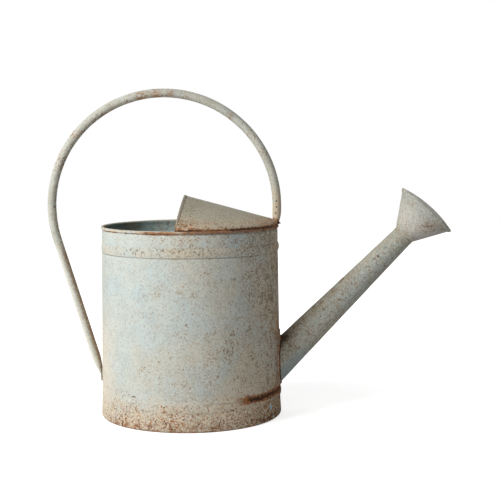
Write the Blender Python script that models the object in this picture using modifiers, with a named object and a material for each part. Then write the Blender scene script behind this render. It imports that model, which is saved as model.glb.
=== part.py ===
"""Galvanised sheet watering can: rolled body, hooded mouth, hoop handle, tapered spout and rose.

Metres, +Z up, spout along +X. The origin is on the floor in the middle of the whole outline,
so the body's own axis stands off it on the handle's side.
"""
from math import asin, atan2, ceil, cos, pi, radians, sin, sqrt, tan

import bmesh
import bpy
from mathutils import Matrix, Vector

# Sheet metal, and the gap between pieces that touch or are soldered together
SHEET = 0.0006
FIT_GAP = 0.0003

# Body: a rolled sheet that widens slightly towards the foot
BODY_HEIGHT = 0.215
WALL_TOP_RADIUS = 0.0991
WALL_BASE_RADIUS = 0.1017
BEAD_PROUD = 0.0015
BEAD_HALF_WIDTH = 0.005
UPPER_BEAD_DROP = 0.024
LOWER_BEAD_HEIGHT = 0.0262
FOOT_RADIUS = 0.1024
FOOT_ROUND = 0.003
FOOT_FLANGE_WIDTH = 0.0045

# Wired rim: the sheet rolls over a wire
RIM_WIRE_RADIUS = 0.0008
RIM_OVERHANG = 0.0013
RIM_NECK_DROP = 0.0055
RIM_CURL_END = radians(-60)

# Recessed bottom
BOTTOM_RECESS = 0.006

# Hood over the spout's half of the mouth
HOOD_TOP_SETBACK = 0.006
HOOD_CORNER_SETBACK = 0.011
HOOD_MOUTH_RISE = 0.0333
HOOD_NOSE_RISE = 0.0046
HOOD_SKIRT = 0.0015
HOOD_SIDE_POWER = 0.6
HOOD_RIDGE_SOFTNESS = 0.1

# Handle: a bent tube whose two ends are pressed flat
HANDLE_RISE = 0.1532
HOOP_RADIUS = 0.127
HANDLE_RADIUS = 0.005
HANDLE_WALL = 0.0008
HANDLE_FOOT_INSET = 0.0019
HANDLE_FOOT_HALF_THICKNESS = 0.0026
HANDLE_FOOT_PINCH = 0.014
TAIL_HEIGHT = 0.038
TAIL_TAB_LENGTH = 0.007
TAIL_HALF_THICKNESS = 0.0009
TAIL_PINCH = 0.017

# Spout: a tapered tube at 45 degrees, with a flange round its root
SPOUT_ELEVATION = radians(45)
SPOUT_ROOT_HEIGHT = 0.0609
SPOUT_LENGTH = 0.1981
SPOUT_ROOT_RADIUS = 0.0189
SPOUT_NECK_RADIUS = 0.0122
SPOUT_SEAT = 0.001
COLLAR_THICKNESS = 0.0008
COLLAR_TOP_MARGIN = 0.0092
COLLAR_BOTTOM_MARGIN = 0.002
COLLAR_SIDE_MARGIN = 0.006

# Rose: a sheet cone with a domed, perforated face hemmed over its edge
ROSE_ELEVATION = radians(48)
ROSE_DEPTH = 0.0402
ROSE_RADIUS = 0.03665
ROSE_NECK_ROUND = 0.004
ROSE_SPIGOT_LENGTH = 0.004
ROSE_SPIGOT_GAP = 0.00045
ROSE_DOME = 0.005
ROSE_HEM = 0.0025
ROSE_HOLE_RADIUS = 0.0011
ROSE_HOLE_PITCH = 0.0085
ROSE_HOLE_RINGS = 3

# Facets
ROUND_STEPS = 64
SPOUT_STEPS = 28
ROSE_STEPS = 40
WIRE_STEPS = 8
TUBE_STEPS = 12
HOLE_STEPS = 6
CURL_STEPS = 6
FOOT_STEPS = 2
DOME_STEPS = 4
HOOD_COLUMNS = 32
HOOD_ROWS = 8
HOOP_STEP = radians(7.5)
BEAD_SHARES = (1, 0.55, 0, -0.55, -1)
HANDLE_FOOT_SHARES = (0, 0.3, 0.65, 1)
TAIL_SHARES = (1, 0.75, 0.5, 0.25)
MERGE = 0.00001

# Worked out: the rim
BEAD_MIDLINE = RIM_WIRE_RADIUS + FIT_GAP + SHEET / 2
RIM_HEIGHT = BODY_HEIGHT - BEAD_MIDLINE - SHEET / 2
RIM_RADIUS = WALL_TOP_RADIUS + RIM_OVERHANG - BEAD_MIDLINE - SHEET / 2
RIM_SEAT = BODY_HEIGHT + FIT_GAP


def wall_radius(height):
    """Outer radius of the plain wall, between its beads."""
    share = height / (BODY_HEIGHT - RIM_NECK_DROP)
    return WALL_BASE_RADIUS + (WALL_TOP_RADIUS - WALL_BASE_RADIUS) * share


def foot_radius(height):
    """Outer radius of the flared band between the lower bead and the foot's rounding."""
    top = LOWER_BEAD_HEIGHT - BEAD_HALF_WIDTH
    share = (height - FOOT_ROUND) / (top - FOOT_ROUND)
    return FOOT_RADIUS + (wall_radius(top) - FOOT_RADIUS) * share


def foot_slope():
    """Angle of that band from the upright."""
    top = LOWER_BEAD_HEIGHT - BEAD_HALF_WIDTH
    return atan2(FOOT_RADIUS - wall_radius(top), top - FOOT_ROUND)


# Worked out: the handle's hoop, its centre on the y = 0 plane
HOOP_HEIGHT = BODY_HEIGHT + HANDLE_RISE - HANDLE_RADIUS - HOOP_RADIUS
HANDLE_FOOT_X = RIM_RADIUS - HANDLE_FOOT_INSET
HOOP_FOOT_ANGLE = asin((RIM_SEAT - HOOP_HEIGHT) / HOOP_RADIUS)
HOOP_X = HANDLE_FOOT_X - HOOP_RADIUS * cos(HOOP_FOOT_ANGLE)
TAIL_X = -(wall_radius(TAIL_HEIGHT) + FIT_GAP + TAIL_HALF_THICKNESS)

# Worked out: the spout and the rose, whose axes lie in the y = 0 plane
SPOUT_ROOT = Vector((wall_radius(SPOUT_ROOT_HEIGHT), 0, SPOUT_ROOT_HEIGHT))
SPOUT_AXIS = Vector((cos(SPOUT_ELEVATION), 0, sin(SPOUT_ELEVATION)))
SPOUT_TAPER = (SPOUT_ROOT_RADIUS - SPOUT_NECK_RADIUS) / SPOUT_LENGTH
NECK = SPOUT_ROOT + SPOUT_AXIS * SPOUT_LENGTH
ROSE_AXIS = Vector((cos(ROSE_ELEVATION), 0, sin(ROSE_ELEVATION)))
ROSE_RIM_X = NECK.x + ROSE_AXIS.x * ROSE_DEPTH + ROSE_RADIUS * sin(ROSE_ELEVATION)

# Worked out: the body's axis, from the middle of the whole outline
HANDLE_BACK_X = HOOP_X - HOOP_RADIUS - HANDLE_RADIUS
BODY_AXIS_X = -(HANDLE_BACK_X + ROSE_RIM_X) / 2


# Scene, materials and helpers

def clear_scene():
    for old in list(bpy.context.scene.objects):
        bpy.data.objects.remove(old, do_unlink=True)


def new_collection(name):
    collection = bpy.data.collections.new(name)
    bpy.context.scene.collection.children.link(collection)
    return collection


def new_material(name, colour, roughness, metallic):
    material = bpy.data.materials.new(name)
    material.use_nodes = True
    shader = material.node_tree.nodes["Principled BSDF"]
    shader.inputs["Base Color"].default_value = (*colour, 1)
    shader.inputs["Roughness"].default_value = roughness
    shader.inputs["Metallic"].default_value = metallic
    return material


def add_object(name, mesh, frame, location=(0, 0, 0), tilt=0.0):
    """Put a mesh in the can's frame; tilt turns its own +Z towards +X."""
    obj = bpy.data.objects.new(name, mesh)
    obj.location = location
    obj.rotation_euler = (0, tilt, 0)
    obj.parent = frame
    return obj


def add_piece(name, mesh, frame, material, location=(0, 0, 0), tilt=0.0):
    obj = add_object(name, mesh, frame, location, tilt)
    obj.data.materials.append(material)
    bpy.data.collections["watering_can"].objects.link(obj)
    return obj


def add_cutter(name, mesh, frame, location=(0, 0, 0), tilt=0.0):
    obj = add_object(name, mesh, frame, location, tilt)
    obj.hide_render = True
    obj.display_type = "WIRE"
    bpy.data.collections["cutters"].objects.link(obj)
    return obj


def outline_mesh(name, points, closed=False):
    """A profile in the xz plane, as radius and height, for a Screw modifier."""
    mesh = bpy.data.meshes.new(name)
    edges = [(i, i + 1) for i in range(len(points) - 1)]
    if closed:
        edges.append((len(points) - 1, 0))
    mesh.from_pydata([(r, 0, z) for r, z in points], edges, [])
    return mesh


def cone_mesh(name, radius_low, radius_high, low, high, steps):
    """A closed cone or cylinder about Z, from height low to height high."""
    mesh = bpy.data.meshes.new(name)
    bm = bmesh.new()
    bmesh.ops.create_cone(
        bm, cap_ends=True, segments=steps, radius1=radius_low, radius2=radius_high,
        depth=high - low, matrix=Matrix.Translation((0, 0, (low + high) / 2)),
    )
    bm.to_mesh(mesh)
    bm.free()
    return mesh


def loft_mesh(name, rings):
    """A closed skin through rings of equally many points, capped at both ends."""
    mesh = bpy.data.meshes.new(name)
    bm = bmesh.new()
    loops = [[bm.verts.new(point) for point in ring] for ring in rings]
    count = len(loops[0])
    for near, far in zip(loops, loops[1:]):
        for i in range(count):
            j = (i + 1) % count
            bm.faces.new((near[i], near[j], far[j], far[i]))
    bm.faces.new(loops[0])
    bm.faces.new(loops[-1])
    bmesh.ops.recalc_face_normals(bm, faces=bm.faces)
    bm.to_mesh(mesh)
    bm.free()
    return mesh


def turn(obj, steps):
    screw = obj.modifiers.new("turn", "SCREW")
    screw.steps = steps
    screw.render_steps = steps
    screw.use_merge_vertices = True
    screw.merge_threshold = MERGE
    screw.use_smooth_shade = True


def thicken(obj, offset):
    """Give an open skin the sheet's thickness; offset 0 keeps the skin as the middle."""
    solidify = obj.modifiers.new("sheet", "SOLIDIFY")
    solidify.thickness = SHEET
    solidify.offset = offset
    solidify.use_even_offset = True


def combine(obj, cutter, operation="DIFFERENCE"):
    boolean = obj.modifiers.new(cutter.name, "BOOLEAN")
    boolean.operation = operation
    boolean.solver = "EXACT"
    boolean.object = cutter


# Body

def bead_points(height, outwards):
    """A swaged bead: five points down an arc that stands proud of the wall."""
    points = []
    for share in BEAD_SHARES:
        z = height + share * BEAD_HALF_WIDTH
        proud = BEAD_PROUD * (1 - share ** 2)
        points.append((wall_radius(z) - outwards + proud, z))
    return points


def body_midline():
    """The sheet's middle line: the rolled rim, the two beads, the foot and its flange."""
    half = SHEET / 2
    points = []
    for i in range(CURL_STEPS + 1):
        angle = RIM_CURL_END + (pi - RIM_CURL_END) * i / CURL_STEPS
        points.append((
            RIM_RADIUS + BEAD_MIDLINE * cos(angle),
            RIM_HEIGHT + BEAD_MIDLINE * sin(angle),
        ))
    points.append((WALL_TOP_RADIUS - half, BODY_HEIGHT - RIM_NECK_DROP))
    points += bead_points(BODY_HEIGHT - UPPER_BEAD_DROP, half)
    points += bead_points(LOWER_BEAD_HEIGHT, half)
    corner = FOOT_ROUND - half
    centre_r = FOOT_RADIUS - FOOT_ROUND
    for i in range(FOOT_STEPS + 1):
        angle = -pi / 2 * i / FOOT_STEPS
        points.append((centre_r + corner * cos(angle), FOOT_ROUND + corner * sin(angle)))
    points.append((FOOT_RADIUS - FOOT_ROUND - FOOT_FLANGE_WIDTH, half))
    return points


def make_body(frame, material, spout_hole):
    wall = add_piece("body_wall", outline_mesh("body_wall", body_midline()), frame, material)
    turn(wall, ROUND_STEPS)
    thicken(wall, 0)
    combine(wall, spout_hole)


def make_rim_wire(frame, material):
    points = []
    for i in range(WIRE_STEPS):
        angle = -2 * pi * i / WIRE_STEPS
        points.append((
            RIM_RADIUS + RIM_WIRE_RADIUS * cos(angle),
            RIM_HEIGHT + RIM_WIRE_RADIUS * sin(angle),
        ))
    wire = add_piece("rim_wire", outline_mesh("rim_wire", points, True), frame, material)
    turn(wire, ROUND_STEPS)


def make_bottom(frame, material):
    """A disc let up into the foot, its edge turned down along the wall."""
    half = SHEET / 2
    inset = half + (SHEET + FIT_GAP) / cos(foot_slope())
    top = BOTTOM_RECESS - half
    corner = 2 * SHEET
    edge = foot_radius(top - corner) - inset
    points = [(0, top), (edge - corner, top)]
    points.append((edge - corner * (1 - sin(pi / 4)), top - corner * (1 - cos(pi / 4))))
    points.append((edge, top - corner))
    points.append((foot_radius(FOOT_ROUND + FIT_GAP) - inset, FOOT_ROUND + FIT_GAP))
    disc = add_piece("bottom_disc", outline_mesh("bottom_disc", points), frame, material)
    turn(disc, ROUND_STEPS)
    thicken(disc, 0)


# Hood

def hood_share(x, radius):
    """0 at the nose, 1 under the top of the hood's mouth."""
    return (radius - x) / (radius + HOOD_TOP_SETBACK)


def hood_arch(t):
    """Cross-section of the hood: 1 at the soft ridge, 0 at the edge, where it stands upright."""
    soft = HOOD_RIDGE_SOFTNESS
    eased = (sqrt(t * t + soft * soft) - soft) / (sqrt(1 + soft * soft) - soft)
    return max(1 - eased, 0) ** HOOD_SIDE_POWER


def hood_height(x, y, radius):
    """Height of the hood's skin above its seat on the rim."""
    share = hood_share(x, radius)
    half_width = sqrt(max(radius * radius - x * x, MERGE))
    ridge = HOOD_NOSE_RISE + (HOOD_MOUTH_RISE - HOOD_NOSE_RISE) * share
    return HOOD_SKIRT + (ridge - HOOD_SKIRT) * hood_arch(min(abs(y) / half_width, 1))


def hood_plan(radius, columns, rows):
    """Plan points of the hood's skin: each column runs from the rim to the mouth's edge."""
    corner_angle = pi / 2 + asin(HOOD_CORNER_SETBACK / radius)
    corner_y = radius * sin(corner_angle)
    plan = []
    for i in range(columns + 1):
        share = 2 * i / columns - 1
        angle = corner_angle * share
        mouth_y = corner_y * sin(pi / 2 * share)
        arch = hood_arch(abs(mouth_y) / corner_y)
        mouth_x = -HOOD_CORNER_SETBACK + (HOOD_CORNER_SETBACK - HOOD_TOP_SETBACK) * arch
        column = []
        for j in range(rows + 1):
            run = (j / rows) ** 2
            x = radius * cos(angle) * (1 - run) + mouth_x * run
            y = radius * sin(angle) * (1 - run) + mouth_y * run
            column.append((x, y))
        plan.append(column)
    return plan


def hood_skin(name):
    """The hood's outer skin, with its skirt standing on the rim."""
    radius = RIM_RADIUS + SHEET / 2
    mesh = bpy.data.meshes.new(name)
    bm = bmesh.new()
    lines = []
    for column in hood_plan(radius, HOOD_COLUMNS, HOOD_ROWS):
        line = [bm.verts.new((*column[0], RIM_SEAT))]
        for x, y in column:
            line.append(bm.verts.new((x, y, RIM_SEAT + hood_height(x, y, radius))))
        lines.append(line)
    for left, right in zip(lines, lines[1:]):
        for j in range(HOOD_ROWS + 1):
            bm.faces.new((left[j], right[j], right[j + 1], left[j + 1]))
    bmesh.ops.remove_doubles(bm, verts=bm.verts, dist=MERGE)
    bm.to_mesh(mesh)
    bm.free()
    return mesh


def hood_block(name):
    """The solid room under the hood's skin, a fit gap larger all round."""
    radius = RIM_RADIUS + SHEET / 2 + FIT_GAP
    floor = RIM_HEIGHT
    mesh = bpy.data.meshes.new(name)
    bm = bmesh.new()
    tops = []
    bottoms = []
    for column in hood_plan(radius, HOOD_COLUMNS, HOOD_ROWS):
        tops.append([
            bm.verts.new((x, y, RIM_SEAT + FIT_GAP + hood_height(x, y, radius)))
            for x, y in column
        ])
        bottoms.append([bm.verts.new((x, y, floor)) for x, y in column])
    for i in range(HOOD_COLUMNS):
        for j in range(HOOD_ROWS):
            bm.faces.new((tops[i][j], tops[i + 1][j], tops[i + 1][j + 1], tops[i][j + 1]))
            bm.faces.new((
                bottoms[i][j], bottoms[i][j + 1], bottoms[i + 1][j + 1], bottoms[i + 1][j],
            ))
        for j in (0, HOOD_ROWS):
            bm.faces.new((tops[i][j], bottoms[i][j], bottoms[i + 1][j], tops[i + 1][j]))
    bmesh.ops.remove_doubles(bm, verts=bm.verts, dist=MERGE)
    bmesh.ops.recalc_face_normals(bm, faces=bm.faces)
    bm.to_mesh(mesh)
    bm.free()
    return mesh


def make_hood(frame, material):
    hood = add_piece("hood", hood_skin("hood"), frame, material)
    thicken(hood, -1)


# Handle

def handle_path():
    """Centreline points with their distances from the foot: the hoop, the leg and the tab."""
    tab_top = Vector((TAIL_X, 0, TAIL_HEIGHT + TAIL_TAB_LENGTH))
    centre = Vector((HOOP_X, 0, HOOP_HEIGHT))
    reach = centre - tab_top
    leg_angle = atan2(reach.z, reach.x) + asin(HOOP_RADIUS / reach.length)
    last_angle = leg_angle + pi / 2
    first_steps = ceil((pi - HOOP_FOOT_ANGLE) / HOOP_STEP)
    last_steps = ceil((last_angle - pi) / HOOP_STEP)
    angles = [
        HOOP_FOOT_ANGLE + (pi - HOOP_FOOT_ANGLE) * i / first_steps for i in range(first_steps)
    ]
    angles += [pi + (last_angle - pi) * i / last_steps for i in range(last_steps + 1)]
    points = [centre + HOOP_RADIUS * Vector((cos(a), 0, sin(a))) for a in angles]
    return points, tab_top


def handle_section(point, along, half_thickness, inwards):
    """One ring of the tube; a pressed ring keeps the round tube's girth."""
    half_width = sqrt(2 * HANDLE_RADIUS ** 2 - half_thickness ** 2)
    side = Vector((0, 1, 0))
    out = side.cross(along).normalized()
    ring = []
    for i in range(TUBE_STEPS):
        angle = 2 * pi * i / TUBE_STEPS
        ring.append(
            point + out * (half_thickness - inwards) * cos(angle)
            + side * (half_width - inwards) * sin(angle)
        )
    return ring


def pinched(distance, length, half_thickness):
    """Half thickness of the tube at a distance from a pressed end."""
    share = min(distance / length, 1)
    return half_thickness + (HANDLE_RADIUS - half_thickness) * sin(pi / 2 * share)


def handle_stations():
    """Points, directions and half thicknesses along the whole handle, foot to tail."""
    hoop, tab_top = handle_path()
    stations = []
    foot_reach = HANDLE_FOOT_PINCH / HOOP_RADIUS
    for share in HANDLE_FOOT_SHARES:
        angle = HOOP_FOOT_ANGLE + foot_reach * share
        point = Vector((HOOP_X, 0, HOOP_HEIGHT))
        point += HOOP_RADIUS * Vector((cos(angle), 0, sin(angle)))
        along = Vector((-sin(angle), 0, cos(angle)))
        if share == 0:
            along = Vector((0, 0, 1))
        distance = HANDLE_FOOT_PINCH * share
        half = pinched(distance, HANDLE_FOOT_PINCH, HANDLE_FOOT_HALF_THICKNESS)
        stations.append((point, along, half))
    for point in hoop:
        spoke = (point - Vector((HOOP_X, 0, HOOP_HEIGHT))).normalized()
        angle = atan2(spoke.z, spoke.x)
        if -pi / 2 < angle < HOOP_FOOT_ANGLE + foot_reach + HOOP_STEP / 3:
            continue
        stations.append((point, Vector((-spoke.z, 0, spoke.x)), HANDLE_RADIUS))
    leg = tab_top - hoop[-1]
    down = leg.normalized()
    for share in TAIL_SHARES:
        point = tab_top - down * TAIL_PINCH * share
        half = pinched(TAIL_PINCH * share, TAIL_PINCH, TAIL_HALF_THICKNESS)
        stations.append((point, down, half))
    middle = (down + Vector((0, 0, -1))).normalized()
    stations.append((tab_top, middle, TAIL_HALF_THICKNESS))
    tip = Vector((TAIL_X, 0, TAIL_HEIGHT))
    stations.append((tip, Vector((0, 0, -1)), TAIL_HALF_THICKNESS))
    return stations


def make_handle(frame, material, hood_room):
    stations = handle_stations()
    outer = [handle_section(p, along, half, 0) for p, along, half in stations]
    bore = [
        handle_section(p, along, half, HANDLE_WALL)
        for p, along, half in stations if half > HANDLE_WALL + FIT_GAP
    ]
    mesh = loft_mesh("handle_tube", bore[::-1] + outer)
    handle = add_piece("handle_tube", mesh, frame, material)
    combine(handle, hood_room)


# Spout

def spout_radius(distance):
    """Outer radius of the spout at a distance along its axis from the wall."""
    return SPOUT_ROOT_RADIUS - SPOUT_TAPER * distance


def spout_cone(name, low, high, offset):
    """A closed cone that follows the spout's outside, larger or smaller by an offset."""
    return cone_mesh(
        name, spout_radius(low) + offset, spout_radius(high) + offset, low, high, SPOUT_STEPS,
    )


def wall_cone(name, offset):
    """A closed cone that follows the plain wall's outside, larger by an offset."""
    low = 0
    high = BODY_HEIGHT
    return cone_mesh(
        name, wall_radius(low) + offset, wall_radius(high) + offset, low, high, ROUND_STEPS,
    )


def make_spout(frame, material, wall_outside, neck_plane):
    low = -2 * SPOUT_ROOT_RADIUS
    high = SPOUT_LENGTH + SPOUT_NECK_RADIUS / 2
    points = [
        (spout_radius(high), high), (spout_radius(low), low),
        (spout_radius(low) - SHEET, low), (spout_radius(high) - SHEET, high),
    ]
    mesh = outline_mesh("spout_tube", points, True)
    tilt = pi / 2 - SPOUT_ELEVATION
    spout = add_piece("spout_tube", mesh, frame, material, SPOUT_ROOT, tilt)
    turn(spout, SPOUT_STEPS)
    combine(spout, wall_outside)
    combine(spout, neck_plane)


def spout_root_end(side):
    """Height where the spout's upper (side 1) or lower (side -1) edge meets the plain wall."""
    lean = wall_radius(1) - wall_radius(0)
    across = sin(SPOUT_ELEVATION) + lean * cos(SPOUT_ELEVATION)
    along = cos(SPOUT_ELEVATION) - lean * sin(SPOUT_ELEVATION)
    distance = side * SPOUT_ROOT_RADIUS * across / (along + side * SPOUT_TAPER * across)
    rise = side * spout_radius(distance) * cos(SPOUT_ELEVATION)
    return SPOUT_ROOT_HEIGHT + distance * sin(SPOUT_ELEVATION) + rise


def make_collar(frame, material, wall_outside, collar_outside, spout_outside):
    """The flange round the spout's root: an oval piece of sheet bent to the wall."""
    top = spout_root_end(1) + COLLAR_TOP_MARGIN
    bottom = spout_root_end(-1) - COLLAR_BOTTOM_MARGIN
    half_height = (top - bottom) / 2
    half_width = SPOUT_ROOT_RADIUS + COLLAR_SIDE_MARGIN
    centre_z = (top + bottom) / 2
    reach = SPOUT_ROOT_RADIUS
    mesh = cone_mesh("spout_collar", half_width, half_width, -reach, reach, SPOUT_STEPS)
    mesh.transform(Matrix.Diagonal((half_height / half_width, 1, 1, 1)))
    place = (SPOUT_ROOT.x, 0, centre_z)
    collar = add_piece("spout_collar", mesh, frame, material, place, pi / 2)
    combine(collar, collar_outside, "INTERSECT")
    combine(collar, wall_outside)
    combine(collar, spout_outside)


# Rose

def rose_slope():
    """Angle of the cone's side from its axis, past the rounded neck."""
    rise = ROSE_RADIUS - SPOUT_NECK_RADIUS
    return atan2(rise, ROSE_DEPTH - ROSE_NECK_ROUND / 2)


def rose_cone_points():
    """Middle line of the cone: from its edge down to the neck and the spigot."""
    half = SHEET / 2
    slope = rose_slope()
    neck = SPOUT_NECK_RADIUS - half
    spigot = SPOUT_NECK_RADIUS - SHEET - ROSE_SPIGOT_GAP - half
    edge_depth = ROSE_DEPTH - SHEET - FIT_GAP - half
    hem_radius = ROSE_RADIUS - half - (ROSE_DEPTH - half - SHEET - edge_depth) * tan(slope)
    edge = hem_radius - (SHEET + FIT_GAP) / cos(slope)
    start = neck + ROSE_NECK_ROUND * (1 - cos(slope)) / 2
    return [
        (edge, edge_depth), (start, ROSE_NECK_ROUND / 2 + half), (neck, half),
        (spigot, half), (spigot, -ROSE_SPIGOT_LENGTH),
    ]


def rose_face_points():
    """Middle line of the face: the dome from its middle out, and the hem round the edge."""
    half = SHEET / 2
    slope = rose_slope()
    outer = ROSE_RADIUS - half
    dome_radius = (outer ** 2 + ROSE_DOME ** 2) / (2 * ROSE_DOME)
    reach = asin(outer / dome_radius)
    base = ROSE_DEPTH - half
    points = []
    for i in range(DOME_STEPS + 1):
        angle = reach * i / DOME_STEPS
        points.append((dome_radius * sin(angle), base + ROSE_DOME - dome_radius * (1 - cos(angle))))
    lip = SHEET
    points.append((outer, base - lip))
    points.append((outer - ROSE_HEM * sin(slope), base - lip - ROSE_HEM * cos(slope)))
    return points


def rose_holes(name):
    """A bundle of six-sided rods, one for each hole, in rings round the middle."""
    mesh = bpy.data.meshes.new(name)
    bm = bmesh.new()
    for ring in range(ROSE_HOLE_RINGS + 1):
        count = max(6 * ring, 1)
        for i in range(count):
            angle = 2 * pi * (i + 0.5) / count
            x = ring * ROSE_HOLE_PITCH * cos(angle)
            y = ring * ROSE_HOLE_PITCH * sin(angle)
            bmesh.ops.create_cone(
                bm, cap_ends=True, segments=HOLE_STEPS, radius1=ROSE_HOLE_RADIUS,
                radius2=ROSE_HOLE_RADIUS, depth=4 * ROSE_DOME,
                matrix=Matrix.Translation((x, y, ROSE_DEPTH)),
            )
    bm.to_mesh(mesh)
    bm.free()
    return mesh


def make_rose(frame, material):
    tilt = pi / 2 - ROSE_ELEVATION
    mesh = outline_mesh("rose_cone", rose_cone_points())
    cone = add_piece("rose_cone", mesh, frame, material, NECK, tilt)
    turn(cone, ROSE_STEPS)
    thicken(cone, 0)
    mesh = outline_mesh("rose_face", rose_face_points())
    face = add_piece("rose_face", mesh, frame, material, NECK, tilt)
    turn(face, ROSE_STEPS)
    thicken(face, 0)
    combine(face, add_cutter("rose_holes", rose_holes("rose_holes"), frame, NECK, tilt))


def make_can():
    clear_scene()
    new_collection("watering_can")
    new_collection("cutters")
    frame = bpy.data.objects.new("can_axis", None)
    frame.location = (BODY_AXIS_X, 0, 0)
    bpy.data.collections["watering_can"].objects.link(frame)

    painted = new_material("painted_zinc", (0.42, 0.46, 0.42), 0.75, 0.1)
    hood_paint = new_material("hood_zinc", (0.33, 0.30, 0.21), 0.75, 0.1)
    handle_paint = new_material("handle_zinc", (0.36, 0.37, 0.31), 0.7, 0.1)
    spout_paint = new_material("spout_zinc", (0.30, 0.33, 0.29), 0.7, 0.1)
    rusty = new_material("rusty_steel", (0.17, 0.07, 0.03), 0.9, 0.2)

    spout_tilt = pi / 2 - SPOUT_ELEVATION
    rose_tilt = pi / 2 - ROSE_ELEVATION
    reach = 2 * SPOUT_ROOT_RADIUS
    bore = -SHEET - SPOUT_SEAT
    spout_hole = add_cutter(
        "spout_hole", spout_cone("spout_hole", -reach, reach, bore), frame, SPOUT_ROOT, spout_tilt,
    )
    spout_outside = add_cutter(
        "spout_outside", spout_cone("spout_outside", -reach, reach, FIT_GAP), frame,
        SPOUT_ROOT, spout_tilt,
    )
    wall_outside = add_cutter("wall_outside", wall_cone("wall_outside", FIT_GAP), frame)
    collar_outside = add_cutter(
        "collar_outside", wall_cone("collar_outside", FIT_GAP + COLLAR_THICKNESS), frame,
    )
    neck_end = cone_mesh(
        "neck_plane", ROSE_RADIUS, ROSE_RADIUS, -FIT_GAP, ROSE_DEPTH, ROSE_STEPS,
    )
    neck_plane = add_cutter("neck_plane", neck_end, frame, NECK, rose_tilt)
    hood_room = add_cutter("hood_room", hood_block("hood_room"), frame)

    make_body(frame, painted, spout_hole)
    make_rim_wire(frame, rusty)
    make_bottom(frame, painted)
    make_hood(frame, hood_paint)
    make_handle(frame, handle_paint, hood_room)
    make_spout(frame, spout_paint, wall_outside, neck_plane)
    make_collar(frame, rusty, wall_outside, collar_outside, spout_outside)
    make_rose(frame, spout_paint)


make_can()
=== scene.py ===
"""Looks of the rusty watering can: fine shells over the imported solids, aged paint, light and camera.

Metres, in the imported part's frame: +Z up, the spout along +X, the floor at z = 0. The shells below are
worked out in the can's own frame, whose Z axis is the body's, and moved to AXIS_X at the end.
Angles on the wall are in degrees from the side that faces the camera towards the spout.
"""
from functools import cached_property
from math import asin, atan2, cos, pi, radians, sin, sqrt, tan

import bmesh
import bpy
from mathutils import Matrix, Vector, noise


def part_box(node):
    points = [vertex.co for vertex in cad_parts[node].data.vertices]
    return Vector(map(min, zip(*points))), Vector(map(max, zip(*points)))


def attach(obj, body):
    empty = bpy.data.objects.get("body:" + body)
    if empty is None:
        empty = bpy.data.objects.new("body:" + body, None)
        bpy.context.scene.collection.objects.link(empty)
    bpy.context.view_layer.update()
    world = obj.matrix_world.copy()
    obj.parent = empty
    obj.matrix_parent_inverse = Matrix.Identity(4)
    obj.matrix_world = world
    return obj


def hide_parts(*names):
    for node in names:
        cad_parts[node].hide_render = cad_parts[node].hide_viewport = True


ACROSS = Vector((0, 1, 0))
UP = Vector((0, 0, 1))
SMOOTH_ANGLE = radians(35)

# Sheet metal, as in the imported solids
SHEET = 0.0006
FIT_GAP = 0.0003

# Body
BODY_HEIGHT = 0.215
WALL_TOP_RADIUS = 0.0991
WALL_BASE_RADIUS = 0.1017
RIM_NECK_DROP = 0.0055
BEAD_PROUD = 0.0015
BEAD_HALF_WIDTH = 0.005
UPPER_BEAD_HEIGHT = 0.191
LOWER_BEAD_HEIGHT = 0.0262
BEAD_CREASE = 0.00025
FOOT_RADIUS = 0.1024
FOOT_ROUND = 0.003
FOOT_FLANGE_WIDTH = 0.0045
RIM_RADIUS = 0.0987
RIM_HEIGHT = 0.2133
CURL_RADIUS = 0.0014
CURL_END = radians(-60)
CURL_STEPS = 16
RIM_SEAT = BODY_HEIGHT + FIT_GAP
WALL_SIDES = 288
BEAD_STEPS = 12

# Lap seam on the far side, and shallow dents that stay clear of the beads and the spout
SEAM_ANGLE = radians(150)
SEAM_WIDTH = radians(5)
SEAM_STEP = radians(0.15)
SEAM_LOW = 0.03
SEAM_HIGH = 0.186
DENT = 0.00022
DENT_SPACING = 0.07
DENT_LOW = 0.035
DENT_HIGH = 0.18
DENT_FADE = 0.03
DENT_FREE_ANGLE = radians(22)

# Hood
HOOD_TOP_SETBACK = 0.006
HOOD_CORNER_SETBACK = 0.011
HOOD_MOUTH_RISE = 0.0333
HOOD_NOSE_RISE = 0.0046
HOOD_SKIRT = 0.0015
HOOD_SIDE_POWER = 0.6
HOOD_RIDGE_SOFTNESS = 0.1
HEM_WIDTH = 0.0024
HEM_CREASE = 0.0009
HEM_THICKNESS = 0.0004
HOOD_SEAT_RADIUS = RIM_RADIUS + SHEET / 2
HOOD_HALF_ANGLE = pi / 2 + asin(HOOD_CORNER_SETBACK / HOOD_SEAT_RADIUS)
HOOD_COLUMNS = 128
HOOD_ROWS = 40

# Handle
HOOP_RADIUS = 0.127
HOOP_X = -0.0285
HOOP_HEIGHT = 0.2362
HOOP_STEPS = 150
LEG_STEPS = 60
HANDLE_SIDES = 40
HANDLE_RADIUS = 0.005
FOOT_HALF_THICKNESS = 0.0026
FOOT_PINCH = 0.014
TAIL_HEIGHT = 0.038
TAIL_TAB_LENGTH = 0.007
TAIL_HALF_THICKNESS = 0.0009
TAIL_PINCH = 0.024

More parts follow.
